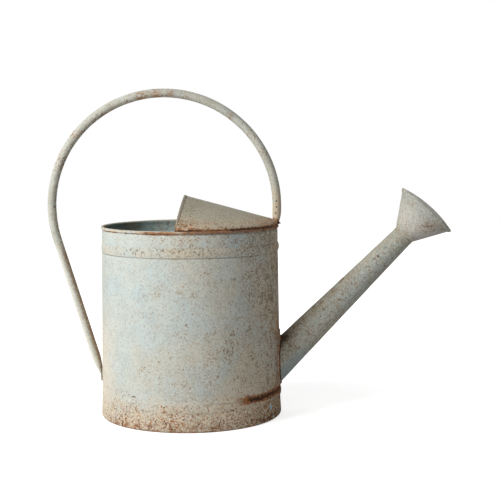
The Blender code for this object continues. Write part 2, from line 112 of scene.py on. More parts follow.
# Spout and rose, whose axes lie in the y = 0 plane
SPOUT_ELEVATION = radians(45)
SPOUT_ROOT_HEIGHT = 0.0609
SPOUT_LENGTH = 0.1981
SPOUT_ROOT_RADIUS = 0.0189
SPOUT_NECK_RADIUS = 0.0122
SPOUT_SEAM = 0.0005
SPOUT_LAP_ANGLE = radians(160)
SPOUT_LAP_WIDTH = radians(24)
SPOUT_LAP_STEP = radians(0.3)
SPOUT_SIDES = 120
SPOUT_ROWS = 70
MOUTH_INSET = 0.001
COLLAR_THICKNESS = 0.0008
COLLAR_TOP_MARGIN = 0.0092
COLLAR_BOTTOM_MARGIN = 0.002
COLLAR_SIDE_MARGIN = 0.006
ROSE_ELEVATION = radians(48)
ROSE_DEPTH = 0.0402
ROSE_RADIUS = 0.03665
ROSE_NECK_ROUND = 0.004
ROSE_SPIGOT = 0.0105
ROSE_SPIGOT_LENGTH = 0.004
ROSE_DOME = 0.005
ROSE_HEM = 0.0025
ROSE_HOLE_RADIUS = 0.0011
ROSE_HOLE_PITCH = 0.0085
ROSE_HOLE_RINGS = 3
ROSE_SIDES = 96

# Solder: half thickness of each bead, and the lump at the handle's foot
HOOD_SOLDER = 0.00075
ROOT_SOLDER = 0.0013
NECK_SOLDER = 0.0006
FOOT_SOLDER_PLACE = Vector((0.0975, 0, RIM_SEAT + 0.0015))
FOOT_SOLDER_REACH = (0.0042, 0.0085, 0.0022)

# Camera and light
CAMERA_PLACE = Vector((0.00045, -1.3138, 0.3079))
CAMERA_PITCH = radians(5.3)
CAMERA_ROLL = radians(-0.35)
CAMERA_LENS = 83.8
SENSOR_WIDTH = 36
LAMP_AIM = Vector((0, 0, 0.15))
WORLD_LIGHT = 0.15
FLOOR_SIZE = 6.0
FLOOR_GREY = 0.75
FLOOR_GLOW_NEAR = 0.74
FLOOR_NEAR = 0.15
FLOOR_FAR = 0.5


def rgb(red, green, blue):
    """A colour as it is seen, 0 to 255, in the linear values that the shaders use."""
    linear = []
    for level in (red, green, blue):
        share = level / 255
        linear.append(share / 12.92 if share <= 0.04045 else ((share + 0.055) / 1.055) ** 2.4)
    return (*linear, 1)


# Palette, as the surfaces look in full light
MILK_BLUE = rgb(197, 203, 196)
SKY_BLUE = rgb(178, 199, 206)
CREAM = rgb(207, 197, 176)
PALE_CREAM = rgb(226, 214, 196)
PALE_GRAIN = rgb(218, 216, 205)
SAND = rgb(203, 183, 154)
TAN = rgb(180, 153, 119)
PINK_TAN = rgb(188, 165, 141)
FLECK_BROWN = rgb(116, 96, 72)
FLECK_GREY = rgb(124, 125, 114)
ORANGE_RUST = rgb(172, 112, 66)
RED_RUST = rgb(134, 85, 54)
OCHRE = rgb(146, 108, 62)
DARK_RUST = rgb(84, 51, 29)
PIT_BROWN = rgb(56, 36, 24)
OLIVE_DARK = rgb(74, 64, 46)
UMBER_RUST_AND_SHADE = rgb(142, 112, 82)
TEAL_LIT = rgb(206, 229, 228)
TEAL_SHADED = rgb(120, 134, 134)
HOOD_PAINT = rgb(174, 168, 148)
HOOD_SHADE = rgb(163, 156, 134)
HOOD_CLEAN = rgb(174, 180, 172)
HEM_SHADE = rgb(142, 136, 118)
HEM_DEEP_SHADE = rgb(120, 106, 86)
HANDLE_PAINT = rgb(199, 199, 188)
HANDLE_SHADE = rgb(185, 184, 170)
HANDLE_CLEAN = rgb(182, 194, 192)
LEG_PAINTED_HIGHLIGHT = rgb(226, 222, 210)
SPOUT_PAINT = rgb(170, 170, 156)
SPOUT_SHADE = rgb(158, 160, 148)
SPOUT_PAINTED_SHEEN = rgb(164, 181, 182)
SPOUT_ROOT_PALE = rgb(188, 188, 174)
SPOUT_ROOT_UNDER = rgb(154, 172, 176)
ROSE_PAINT = rgb(201, 196, 186)
ROSE_SHADE = rgb(190, 187, 178)
ROSE_CLEAN = rgb(180, 190, 190)
ROSE_RIM_SHADE = rgb(152, 160, 152)
ROSE_NECK = rgb(166, 164, 148)
ROSE_DOME_PAINTED_LIGHT = rgb(224, 222, 212)

# Roughness of sound paint, worn paint, flecks and rust, and the gloss of all of them
SOUND = 0.7
WORN = 0.85
FLECKED = 0.9
RUSTED = 0.95
DULL_SPECULAR = 0.15

# How far rust stands proud, and the height of the fine relief that is everywhere
RUST_LIFT = 0.00006
FINE_RELIEF = 0.0002

# Marks on the wall: degrees, height, radius
WORN_PATCHES = (
    (34, 0.102, 0.012), (-26, 0.066, 0.009), (12, 0.169, 0.010), (27, 0.088, 0.010), (60, 0.136, 0.012),
)
CLEAN_PATCHES = ((32, 0.202, 0.009), (-30, 0.147, 0.011), (11, 0.041, 0.007))
RUST_BLOBS = ((0, 0.116, 0.0013), (19, 0.060, 0.0013), (44, 0.075, 0.0012), (-44, 0.020, 0.0016))
FOOT_CHIPS = ((62, 0.016, 0.0030, SKY_BLUE), (65, 0.004, 0.0022, PALE_GRAIN))

# Single places on the wall: degrees and height
SCRATCH = (-35, 0.036)
CREVICE_END = (38, 0.0295)
RIM_STREAK = (-17, BODY_HEIGHT - 0.001)
CREVICE_HEIGHT = 0.0326

# Rust where the handle meets the rim, and the worn patch on the rose's near side
NOSE_RUST = (0.0995, -0.006, 0.2135)
ROSE_PATCH = (0.2673, -0.028, 0.2119)

# Rust on the handle: x and z of its middle line, radius
HANDLE_RUST = (
    (-0.037, 0.363, 0.0060), (-0.054, 0.3587, 0.0055), (-0.020, 0.3625, 0.0045), (-0.084, 0.341, 0.006),
    (-0.128, 0.318, 0.005), (0.046, 0.337, 0.0045),
)
# The row of dark spots on the near side of the handle's foot
HANDLE_DOTS = ((0.0979, -0.005, 0.2417), (0.0979, -0.005, 0.2349), (0.0968, -0.005, 0.2281))
# Dark spots on the spout: distance from its root, degrees from its top line, radius
SPOUT_BLOBS = ((0.162, -66, 0.0014), (0.157, -64, 0.0010), (0.120, -70, 0.0008), (0.046, -80, 0.0009))


# Material kit

def plug(socket, value):
    """Set an input to a value, or link another node's output to it."""
    source = value.socket if isinstance(value, Field) else value
    if isinstance(source, bpy.types.NodeSocket):
        socket.id_data.links.new(source, socket)
    else:
        socket.default_value = source


def add_node(tree, kind, inputs=None, **settings):
    """A new shader node, with its inputs plugged by name or number."""
    node = tree.nodes.new("ShaderNode" + kind)
    for name, value in settings.items():
        setattr(node, name, value)
    for key, value in (inputs or {}).items():
        plug(node.inputs[key], value)
    return node


class Field:
    """A node's output, which varies over the surface; plain arithmetic on it makes new nodes."""

    def __init__(self, socket):
        self.socket = socket

    def math(self, operation, *values):
        inputs = dict(enumerate(values))
        return Field(add_node(self.socket.id_data, "Math", inputs, operation=operation).outputs["Value"])

    def __add__(self, other):
        return self.math("ADD", self, other)

    def __sub__(self, other):
        return self.math("SUBTRACT", self, other)

    def __rsub__(self, other):
        return self.math("SUBTRACT", other, self)

    def __mul__(self, other):
        return self.math("MULTIPLY", self, other)

    def __abs__(self):
        return self.math("ABSOLUTE", self)

    __radd__ = __add__
    __rmul__ = __mul__

    def step(self, low, high):
        """0 at low and 1 at high, smooth between; low may be the larger."""
        ends = {"Value": self, "From Min": low, "From Max": high}
        node = add_node(self.socket.id_data, "MapRange", ends, interpolation_type="SMOOTHSTEP")
        return Field(node.outputs["Result"])

    def band(self, middle, half, soft):
        """1 where the value is within half of the middle, fading over soft."""
        return abs(self - middle).step(half + soft, half)


class Coat:
    """One material, built up in layers: each layer covers the ones before it where its mask is 1."""

    def __init__(self, name):
        self.material = bpy.data.materials.new(name)
        self.material.use_nodes = True
        self.tree = self.material.node_tree
        self.shader = self.tree.nodes["Principled BSDF"].inputs
        plug(self.shader["Specular IOR Level"], DULL_SPECULAR)
        place = add_node(self.tree, "TexCoord").outputs["Object"]
        self.place = self.vector("SUBTRACT", place, ORIGIN)
        split = add_node(self.tree, "SeparateXYZ", {"Vector": self.place}).outputs
        self.x = Field(split["X"])
        self.z = Field(split["Z"])
        self.colour = None
        self.roughness = SOUND
        self.relief = 0.0

    @cached_property
    def rust(self):
        """Rust's own colour: orange and red-brown lumps with dark pits."""
        lumps = self.mix(self.cloud(0.004, 3.0).step(0.42, 0.6), ORANGE_RUST, RED_RUST)
        return self.mix(self.cloud(0.0018, 5.0).step(0.52, 0.64), lumps, DARK_RUST)

    def vector(self, operation, first, second):
        node = add_node(self.tree, "VectorMath", {0: first, 1: second}, operation=operation)
        return Field(node.outputs["Value" if operation in ("DISTANCE", "DOT_PRODUCT") else "Vector"])

    def along(self, start, direction):
        """How far a place lies from the start, measured along a direction."""
        return self.vector("DOT_PRODUCT", self.vector("SUBTRACT", self.place, start), direction)

    def reach(self, centre, stretch=(1, 1, 1)):
        """Distance from a centre, after each axis is stretched."""
        away = self.vector("MULTIPLY", self.vector("SUBTRACT", self.place, centre), stretch)
        return self.vector("DISTANCE", away, (0, 0, 0))

    def cloud(self, size, shift=0.0, detail=4.0):
        """Noise from 0 to 1 whose lumps are about this size; each shift is another pattern."""
        place = self.vector("ADD", self.place, (shift, shift * 0.7, shift * 1.3))
        look = {"Vector": place, "Scale": 0.5 / size, "Detail": detail, "Roughness": 0.6}
        return Field(add_node(self.tree, "TexNoise", look).outputs["Fac"])

    def patches(self, size, share, soft, shift):
        """Islands of noise; a larger share covers more, and 0.5 covers half."""
        edge = 0.86 - share * 0.72
        return (self.cloud(size, shift, 3.0) - edge).step(-soft, soft)

    def flecks(self, size, share, shift, radius=0.36):
        """Small spots a cell's size apart, in this share of the cells."""
        place = self.vector("ADD", self.place, (shift, shift, -shift))
        wobble = add_node(self.tree, "TexNoise", {"Vector": place, "Scale": 1.4 / size, "Detail": 1.0})
        sway = self.vector("MULTIPLY", wobble.outputs["Color"], (size * 0.8, size * 0.8, size * 0.8))
        bent = self.vector("ADD", self.vector("ADD", self.place, sway), (shift, -shift, shift))
        cell = add_node(self.tree, "TexVoronoi", {"Vector": bent, "Scale": 1 / size}).outputs
        pick = add_node(self.tree, "SeparateColor", {"Color": cell["Color"]}).outputs
        chosen = (Field(pick["Red"]) - share).step(0.02, -0.02)
        reach = Field(pick["Green"]) * (radius * 0.7) + radius * 0.6
        return chosen * (Field(cell["Distance"]) - reach).step(0.06, -0.1)

    def spot(self, centre, radius, soft, ragged=0.0, stretch=(1, 1, 1)):
        """A blot round a point of the surface, ragged by this length."""
        reach = self.reach(centre, stretch)
        if ragged:
            reach += (self.cloud(radius * 0.4, centre[0]) - 0.5) * (4 * ragged)
        return reach.step(radius + soft, max(radius - soft, 0))

    def mix(self, share, first, second):
        """The first colour where share is 0, the second where it is 1."""
        node = add_node(self.tree, "Mix", {0: share, 6: first, 7: second}, data_type="RGBA")
        return Field(node.outputs[2])

    def ground(self, first, second, share):
        self.colour = self.mix(share, first, second)

    def paint(self, first, second, size):
        """Ground of one paint in two shades, in clouds of this size."""
        self.ground(first, second, self.cloud(size, 2.0).step(0.36, 0.66))

    def lay(self, mask, colour, roughness=None, lift=0.0):
        """Cover what is there with a colour where the mask is 1; lift is how far it stands proud."""
        self.colour = self.mix(mask, self.colour, colour)
        if roughness is not None:
            node = add_node(self.tree, "Mix", {0: mask, 2: self.roughness, 3: roughness})
            self.roughness = Field(node.outputs[0])
        if lift:
            self.relief = mask * lift + self.relief

    def corrode(self, mask, colour=None, lift=RUST_LIFT):
        """Rough, slightly raised rust where the mask is 1."""
        self.lay(mask, colour or self.rust, RUSTED, lift)

    def finish(self):
        height = self.relief + self.cloud(0.0010, detail=3.0) * FINE_RELIEF
        bump = add_node(self.tree, "Bump", {"Distance": 1.0, "Strength": 0.8, "Height": height})
        plug(self.shader["Normal"], bump.outputs["Normal"])
        plug(self.shader["Base Color"], self.colour)
        plug(self.shader["Roughness"], self.roughness)
        return self.material


def on_wall(angle, height):
    """A point of the plain wall, in the can's own frame."""
    turn = radians(angle)
    radius = wall_radius(height)
    return (radius * sin(turn), -radius * cos(turn), height)


def speckle(coat, wear, shade=1.0):
    """Corrosion in nested spots over a fine pale and grey grain: tan where paint thins, brown inside."""
    fine = coat.cloud(0.0009, 1.0)
    coat.lay(fine.step(0.50, 0.38) * (0.24 * shade), PALE_GRAIN)
    coat.lay(coat.cloud(0.0010, 6.0, 3.0).step(0.50, 0.66) * (0.34 * shade), FLECK_GREY)
    decay = fine * 0.68 + coat.cloud(0.0035, 2.0, 3.0) * 0.32 + wear * 0.17
    thin = coat.mix(coat.cloud(0.012, 8.0, 2.0).step(0.4, 0.6), TAN, PINK_TAN)
    coat.lay(decay.step(0.555, 0.615) * (0.42 * shade), thin, WORN, 0.00002)
    coat.lay(decay.step(0.620, 0.680) * (0.68 * shade), FLECK_BROWN, FLECKED, 0.00003)
    dots = coat.flecks(0.005, wear * 0.22, 7.0, 0.16)
    coat.lay(dots * (0.75 * shade), FLECK_BROWN, FLECKED, 0.00004)


def even_grain(coat, share=1.0):
    """Fine dark and pale grain that evens out to the paint below."""
    fine = coat.cloud(0.0011, 40.0)
    coat.lay(fine.step(0.550, 0.670) * share * 0.50, FLECK_BROWN, FLECKED)
    coat.lay(fine.step(0.455, 0.350) * share * 0.50, PALE_GRAIN)


def body_coat():
    coat = Coat("body_paint_aged")
    side = coat.x * (1 / WALL_BASE_RADIUS)
    right = side.step(-0.75, 0.95)
    # The ground turns creamier, and the grain and flecks grow stronger, towards the right, the side away
    # from the key lamp.
    warmth = coat.cloud(0.032, 0.3) * 1.4 + coat.z.step(0.15, 0.01) * 0.28 + right * 0.55 - 0.80
    coat.ground(MILK_BLUE, CREAM, warmth.step(0.0, 0.7))
    coat.lay(coat.patches(0.026, 0.42, 0.1, 1.7) * 0.36, SKY_BLUE)
    for angle, height, radius in CLEAN_PATCHES:
        coat.lay(coat.spot(on_wall(angle, height), radius, 0.005, 0.001) * 0.4, SKY_BLUE)
    # Paler cream low on the left edge, the side the key lamp lights: a painted highlight.
    painted_highlight = side.step(-0.70, -0.98) * coat.z.step(0.150, 0.060)
    coat.lay(painted_highlight * 0.80, PALE_CREAM)
    coat.lay(coat.cloud(0.008, 2.2).step(0.38, 0.68) * 0.12, FLECK_GREY)
    even_grain(coat, right)

    top = coat.z.step(0.186, 0.2) * side.step(-0.9, -0.1) * (1 - side.step(0.45, 0.85) * 0.9)
    wear = coat.cloud(0.022, 9.1).step(0.40, 0.66) * 0.30 + right * 0.28 + top * 0.36
    wear += coat.z.step(0.045, 0.004) * 0.50 + side.step(0.50, 0.97) * 0.50 - 0.12
    for angle, height, radius in WORN_PATCHES:
        wear += coat.spot(on_wall(angle, height), radius, radius * 0.8) * 0.26
    speckle(coat, wear)
    for angle, height, radius in RUST_BLOBS:
        coat.lay(coat.spot(on_wall(angle, height), radius, 0.0008, 0.0003) * 0.75, RED_RUST, FLECKED)

    upper = coat.z.band(UPPER_BEAD_HEIGHT + 0.0010, 0.0035, 0.0025)
    coat.lay(upper * coat.patches(0.010, 0.55, 0.2, 2.9) * 0.38, SAND, WORN)
    specks = upper * coat.patches(0.0013, 0.40, 0.05, 12.0) * side.step(-0.96, -0.55)
    coat.lay(specks * 0.75, FLECK_BROWN, FLECKED, 0.00004)
    # Broken brown along the crease under the upper bead: dirt, and painted shade where the bead turns back
    # to the wall.
    crease = coat.z.band(UPPER_BEAD_HEIGHT - BEAD_HALF_WIDTH, 0.0003, 0.0005)
    coat.lay(crease * coat.patches(0.02, 0.7, 0.2, 6.6) * 0.6, FLECK_BROWN)

    foot_rust(coat, side, right)
    crevice_rust(coat, side)
    rim_rust(coat)
    for angle, height, radius, colour in FOOT_CHIPS:
        coat.lay(coat.spot(on_wall(angle, height), radius, 0.0007, 0.0004), colour)
    coat.lay(coat.spot(on_wall(*SCRATCH), 0.003, 0.0006, stretch=(1, 1, 4)) * 0.8, DARK_RUST, FLECKED)
    return coat.finish()


def foot_rust(coat, side, right):
    """Sand, orange and dark brown specks that grow dense towards the foot's edge."""
    edge = (coat.z + coat.cloud(0.018, 20.0) * 0.034 - right * 0.003).step(0.080, 0.016)
    edge *= coat.cloud(0.012, 26.0, 3.0).step(0.36, 0.60) * 0.28 + 0.54
    edge *= side.step(-0.99, -0.74) * 0.55 + 0.45
    edge *= 1 - side.band(0.35, 0.20, 0.25) * 0.10
    haze = (coat.z + coat.cloud(0.02, 28.0, 3.0) * 0.03).step(0.062, 0.020)
    coat.lay(haze * (0.44 - right * 0.26), SAND)
    coat.lay(coat.patches(0.005, edge * 0.90, 0.14, 21.0) * 0.55, SAND, WORN)
    pale = edge * coat.patches(0.0017, 0.48, 0.06, 41.0)
    coat.lay(pale * (right * 0.50 + 0.40), PALE_CREAM)
    orange = coat.cloud(0.0011, 10.3) + edge * 0.222
    coat.corrode(orange.step(0.668, 0.715) * 0.88)
    spout_side = side.step(0.58, 0.86)
    ochre = spout_side * coat.z.step(0.034, 0.016) * coat.patches(0.0018, 0.45, 0.06, 38.0)
    coat.lay(ochre * 0.6, OCHRE, FLECKED)
    dark = coat.cloud(0.0013, 11.1) + edge * 0.146 + edge * spout_side * 0.045
    coat.corrode(dark.step(0.685, 0.730) * 0.95, DARK_RUST)
    low = coat.z + coat.cloud(0.003, 22.0) * 0.010
    red = side.band(-0.62, 0.20, 0.16) + side.band(0.10, 0.26, 0.12) * 0.7
    red *= low.step(0.0165, 0.0095) * coat.patches(0.0022, 0.50, 0.06, 24.0)
    coat.corrode(red * 0.70, RED_RUST)
    coat.corrode(low.step(0.0080, 0.0048) * 0.6)
    wavy = coat.z + coat.cloud(0.016, 37.0, 2.0) * 0.012
    chain = wavy.band(0.0125, 0.0012, 0.0022) * side.step(0.40, 0.60)
    coat.corrode(chain * coat.patches(0.0018, 0.46, 0.05, 39.0) * 0.80, DARK_RUST)


def crevice_rust(coat, side):
    """The ragged dark seam above the lower bead, where water sits on the spout's side, and a thin line of
    painted shade along the bead.
    """
    off = abs(coat.z + coat.cloud(0.012, 5.5, 3.0) * 0.004 - CREVICE_HEIGHT)
    reach = off - coat.cloud(0.0015, 4.8) * 0.0085
    coat.corrode(reach.step(0.0009, -0.0006) * side.step(0.46, 0.64) * 0.9, lift=0.0001)
    core = reach.step(-0.0020, -0.0030) * side.step(0.52, 0.70)
    coat.lay(core * 0.9, PIT_BROWN, RUSTED)
    stain = side.step(0.90, 0.985) * coat.z.band(0.070, 0.035, 0.025)
    coat.lay(stain * coat.patches(0.003, 0.55, 0.08, 34.0) * 0.7, coat.rust, RUSTED)
    broken = coat.cloud(0.0014, 33.0, 3.0).step(0.38, 0.52)
    end = coat.spot(on_wall(*CREVICE_END), 0.0030, 0.0025, 0.0015) * broken
    coat.lay(end * 0.85, ORANGE_RUST, RUSTED)
    # A thin grey line along the lower bead's upper edge: painted shade in its crease.
    line = coat.z.band(LOWER_BEAD_HEIGHT + BEAD_HALF_WIDTH * 0.8, 0.0002, 0.0006)
    coat.lay(line * side.step(0.0, 0.4) * side.step(0.58, 0.46) * 0.6, FLECK_GREY)


def rim_rust(coat):
    """Worn cream on the rolled rim and a thin rust line under it, strongest before the hood's corner."""
    rim = coat.z.step(BODY_HEIGHT - 0.0042, BODY_HEIGHT - 0.003)
    coat.lay(rim * coat.patches(0.008, 0.55, 0.12, 14.0) * 0.5, SAND, WORN)
    coat.lay(rim * coat.patches(0.0022, 0.42, 0.06, 16.0) * 0.6, TAN, WORN)
    open_side = coat.x.step(0.002, -0.012)
    under = coat.z.band(BODY_HEIGHT - 0.0034, 0.0005, 0.0010)
    loose = under * open_side * 0.34 + coat.cloud(0.0018, 15.0)
    coat.corrode(loose.step(0.78, 0.86) * 0.85)
    bare = coat.spot(on_wall(*RIM_STREAK), 0.020, 0.006, 0.002, (1, 1, 5))
    bare *= coat.z.step(BODY_HEIGHT - 0.0060, BODY_HEIGHT - 0.0042)
    bare *= coat.z.step(BODY_HEIGHT - 0.0003, BODY_HEIGHT - 0.0012)
    bare *= coat.cloud(0.002, 17.0).step(0.3, 0.5)
    coat.corrode(bare * 0.9, coat.mix(0.3, coat.rust, RED_RUST))
    nose = coat.spot(NOSE_RUST, 0.008, 0.008, 0.002) + coat.cloud(0.0016, 27.0)
    coat.corrode(nose.step(0.92, 1.12) * 0.8)
    height = coat.z + coat.cloud(0.0018, 29.0) * 0.0060
    seat = (1 - open_side) * height.step(BODY_HEIGHT - 0.0006, BODY_HEIGHT + 0.0006)
    coat.lay(seat * 0.8, coat.mix(0.35, coat.rust, DARK_RUST), RUSTED)


def inside_coat():
    coat = Coat("body_inside_aged")
    # Painted shade and light inside: a shaded copy of the zinc towards the left, where the key lamp doesn't
    # reach, and a lit copy elsewhere, painted paler than the zinc to make up for the dim light in the can.
    far = coat.x.step(-0.082, -0.050)
    tone = coat.mix(far, TEAL_SHADED, TEAL_LIT)
    coat.ground(tone, coat.mix(0.55, tone, FLECK_GREY), coat.cloud(0.02, 1.0).step(0.38, 0.68))
    speckle(coat, coat.cloud(0.015, 2.5, 3.0).step(0.4, 0.65) * 0.5 - 0.1, 0.7)
    coat.lay(coat.patches(0.010, 0.24, 0.1, 3.0) * 0.7, coat.rust, RUSTED)
    high = coat.z.step(0.165, 0.205) * far
    coat.lay(high * coat.patches(0.012, 0.45, 0.12, 5.0) * 0.6, SAND)
    coat.lay(high * coat.patches(0.0024, 0.35, 0.05, 6.0) * 0.6, FLECK_BROWN)
    coat.lay(coat.patches(0.01, coat.z.step(0.03, 0.008) * 0.9, 0.1, 4.0), coat.rust, RUSTED)
    return coat.finish()


def hood_coat():
    coat = Coat("hood_paint_aged")
    coat.paint(HOOD_PAINT, HOOD_SHADE, 0.025)
    mouth = coat.x.step(0.036, -0.006)
    coat.lay(mouth * coat.patches(0.018, 0.5, 0.12, 3.3) * 0.4, HOOD_CLEAN)
    seat = coat.z.step(RIM_SEAT + 0.014, RIM_SEAT + 0.005)
    corner = mouth * coat.z.step(RIM_SEAT + 0.022, RIM_SEAT + 0.003)
    coat.lay(seat * coat.patches(0.005, 0.62, 0.14, 42.0) * 0.55, SAND, WORN)
    coat.lay(corner * coat.patches(0.006, 0.72, 0.14, 23.0) * 0.85, SAND, WORN)
    even_grain(coat)
    speckle(coat, coat.cloud(0.012, 7.0, 3.0) * 0.4 + mouth * 0.34 + seat * 0.22 + corner * 0.18 - 0.30)
    dark = coat.cloud(0.0010, 31.0) + mouth * 0.09
    coat.lay(dark.step(0.630, 0.695) * 0.65, OLIVE_DARK, FLECKED)
    nose = seat * coat.x.step(0.050, 0.085)
    loose = coat.cloud(0.0011, 10.3) + corner * 0.05 + seat * 0.13 + nose * 0.07
    coat.corrode(loose.step(0.68, 0.73) * 0.8)
    height = coat.z - coat.cloud(0.0022, 22.0) * 0.010
    low = height.step(RIM_SEAT - 0.0026, RIM_SEAT - 0.0040)
    coat.lay(low * 0.8, coat.mix(0.4, coat.rust, DARK_RUST), RUSTED)
    return coat.finish()


def handle_coat():
    coat = Coat("handle_paint_aged")
    coat.paint(HANDLE_PAINT, HANDLE_SHADE, 0.012)
    coat.lay(coat.patches(0.02, 0.4, 0.1, 1.1) * 0.4, HANDLE_CLEAN)
    reach = coat.reach((HOOP_X, 0, HOOP_HEIGHT), (1, 0, 1))
    inner = reach.step(HOOP_RADIUS - 0.0005, HOOP_RADIUS - 0.0040)
    left = coat.x.step(0.03, -0.06)
    wear = coat.cloud(0.014, 7.0).step(0.42, 0.64) * 0.46 + inner * 0.22 + inner * left * 0.26
    wear += left * coat.z.step(0.22, 0.28) * 0.18 - 0.08
    speckle(coat, wear)
    stations = handle_stations()
    leg_start = stations[HOOP_STEPS][0]
    down = stations[HOOP_STEPS + 1][1]
    on_leg = coat.along(leg_start, down).step(-0.005, 0.020) * coat.x.step(-0.02, -0.05)
    inward = coat.along(leg_start, Vector((-down.z, 0, down.x)))
    # The leg's outer side, towards the key lamp, is painted paler: a painted highlight.
    coat.lay(on_leg * inward.step(0.0005, -0.0035) * 0.8, LEG_PAINTED_HIGHLIGHT)
    # Its inner side gets broken umber: brown rust, and painted shade on the side away from the lamp.
    shade = on_leg * inward.step(-0.0012, 0.0040)
    broken = coat.cloud(0.0016, 35.0) + shade * 0.20
    coat.lay(shade * broken.step(0.50, 0.66) * 0.85, UMBER_RUST_AND_SHADE, FLECKED)
    for x, z, radius in HANDLE_RUST:
        broken = coat.cloud(0.0014, x).step(0.42, 0.56)
        coat.corrode(coat.spot((x, -0.002, z), radius, 0.003, 0.001) * broken * 0.75)
    foot = coat.x.step(0.05, 0.08)
    sandy = foot * coat.z.step(0.270, 0.238) * coat.patches(0.004, 0.62, 0.12, 36.0)
    coat.lay(sandy * 0.75, SAND, WORN)
    end = (coat.z + coat.cloud(0.002, 4.0) * 0.006).step(0.2270, 0.2225)
    coat.corrode(end * foot * 0.9, lift=0.00008)
    for centre in HANDLE_DOTS:
        coat.lay(coat.spot(centre, 0.0010, 0.0005) * 0.85, PIT_BROWN, RUSTED)
    tail = (coat.z + coat.cloud(0.003, 14.0) * 0.02).step(0.062, 0.044)
    coat.lay(tail * coat.cloud(0.0014, 15.0).step(0.40, 0.56) * 0.7, coat.rust, RUSTED)
    return coat.finish()


def spout_coat():
    coat = Coat("spout_paint_aged")
    along = coat.along(SPOUT_ROOT, SPOUT_AXIS)
    across = coat.along(SPOUT_ROOT, SPOUT_UP)
    coat.paint(SPOUT_PAINT, SPOUT_SHADE, 0.02)
    # A bluish band along the middle of the spout's near side: a painted sheen.
    painted_sheen = along.band(0.105, 0.045, 0.05) * across.band(-0.002, 0.006, 0.008)
    coat.lay(painted_sheen * 0.5, SPOUT_PAINTED_SHEEN)
    root = along.step(0.15, 0.01)
    coat.lay(root * 0.6, SPOUT_ROOT_PALE)
    even_grain(coat)
    wear = coat.cloud(0.014, 7.0).step(0.40, 0.64) * 0.38 + root * 0.08
    speckle(coat, wear + abs(across).step(0.007, 0.016) * 0.20 + 0.12)
    dark = coat.cloud(0.0010, 11.1) + along.step(0.12, 0.02) * 0.015
    coat.lay(dark.step(0.595, 0.665) * 0.75, OLIVE_DARK, RUSTED, 0.00005)
    for distance, angle, radius in SPOUT_BLOBS:
        centre = spout_point(distance, radians(angle), 0)
        coat.lay(coat.spot(centre, radius, 0.0009, 0.0005) * 0.8, DARK_RUST, RUSTED)
    # Dark brown over the top of the spout's root: rust, and painted shade in the corner where the spout
    # leaves the wall.
    seat = (along + coat.cloud(0.003, 3.0) * 0.016).step(0.046, 0.028)
    coat.corrode(seat * across.step(0.007, 0.015) * 0.90, PIT_BROWN)
    under = across.step(-0.001, -0.011) * along.step(0.05, 0.01)
    coat.lay(under * 0.65, SPOUT_ROOT_UNDER)
    return coat.finish()


def rose_coat():
    coat = Coat("rose_paint_aged")
    along = coat.along(NECK, ROSE_AXIS)
    coat.paint(ROSE_PAINT, ROSE_SHADE, 0.012)
    coat.lay(coat.patches(0.014, 0.4, 0.1, 1.1) * 0.35, ROSE_CLEAN)
    # Greyer towards the rim: painted shade that blends into the dome's unlit band.
    coat.lay(along.step(0.018, 0.037) * 0.55, ROSE_RIM_SHADE)
    neck = along.step(0.013, 0.001)
    coat.lay(neck * 0.7, ROSE_NECK)
    patch = coat.spot(ROSE_PATCH, 0.010, 0.007, 0.003)
    wear = coat.cloud(0.010, 7.0).step(0.42, 0.64) * 0.40 + patch * 0.5 + neck * 0.42
    speckle(coat, wear + along.step(ROSE_DEPTH + 0.0014, ROSE_DEPTH + 0.0030) * 0.40 - 0.08)
    coat.corrode(patch * coat.cloud(0.0016, 9.0).step(0.50, 0.60) * 0.45)
    even_grain(coat, 0.9)
    dots = coat.flecks(0.0045, along.step(0.026, 0.038) * 0.25 + 0.12, 3.0, 0.16)
    coat.lay(dots * 0.85, DARK_RUST, FLECKED)
    # A paler band on the dome's rim: painted light, so that the dome, which faces away from the key lamp,
    # reads like the cone.
    coat.lay(along.band(ROSE_DEPTH + 0.0026, 0.0024, 0.0010) * 0.8, ROSE_DOME_PAINTED_LIGHT)
    # Broken brown along the cone just under the face's turned-down edge: dirt, and painted shade under that
    # edge.
    hem = along.band(ROSE_DEPTH - 0.0006, 0.0005, 0.0006)
    coat.lay(hem * coat.patches(0.006, 0.60, 0.1, 5.0) * 0.45, FLECK_BROWN, FLECKED)
    return coat.finish()


def rust_coat():
    coat = Coat("solder_rust")
    coat.ground(RED_RUST, PIT_BROWN, coat.cloud(0.003, detail=5.0).step(0.34, 0.54))
    coat.lay(coat.cloud(0.006, 4.0).step(0.52, 0.62) * 0.6, ORANGE_RUST)
    coat.lay(coat.flecks(0.002, 0.3, 1.0) * 0.5, TAN)
    coat.roughness = RUSTED
    coat.relief = coat.cloud(0.0015) * FINE_RELIEF
    return coat.finish()


def crease_coat():
    """A dark line along a folded hem: painted shade in its crease."""
    coat = Coat("hood_hem_painted_shade")
    coat.ground(HEM_SHADE, HEM_DEEP_SHADE, coat.cloud(0.003).step(0.40, 0.60))
    return coat.finish()


# Mesh helpers

def turns(count):
    """Evenly spaced angles, once round."""
    return [2 * pi * i / count for i in range(count)]


def polar(radius, angle, height):
    """A point round the Z axis."""
    return Vector((radius * cos(angle), radius * sin(angle), height))


def course(points, i):
    """The way from the point before to the point after."""
    return points[min(i + 1, len(points) - 1)] - points[max(i - 1, 0)]


def add_object(name, data):
    obj = bpy.data.objects.new(name, data)
    bpy.context.scene.collection.objects.link(obj)
    return obj


def to_object(name, bm):
    mesh = bpy.data.meshes.new(name)
    bm.to_mesh(mesh)
    bm.free()
    return add_object(name, mesh)


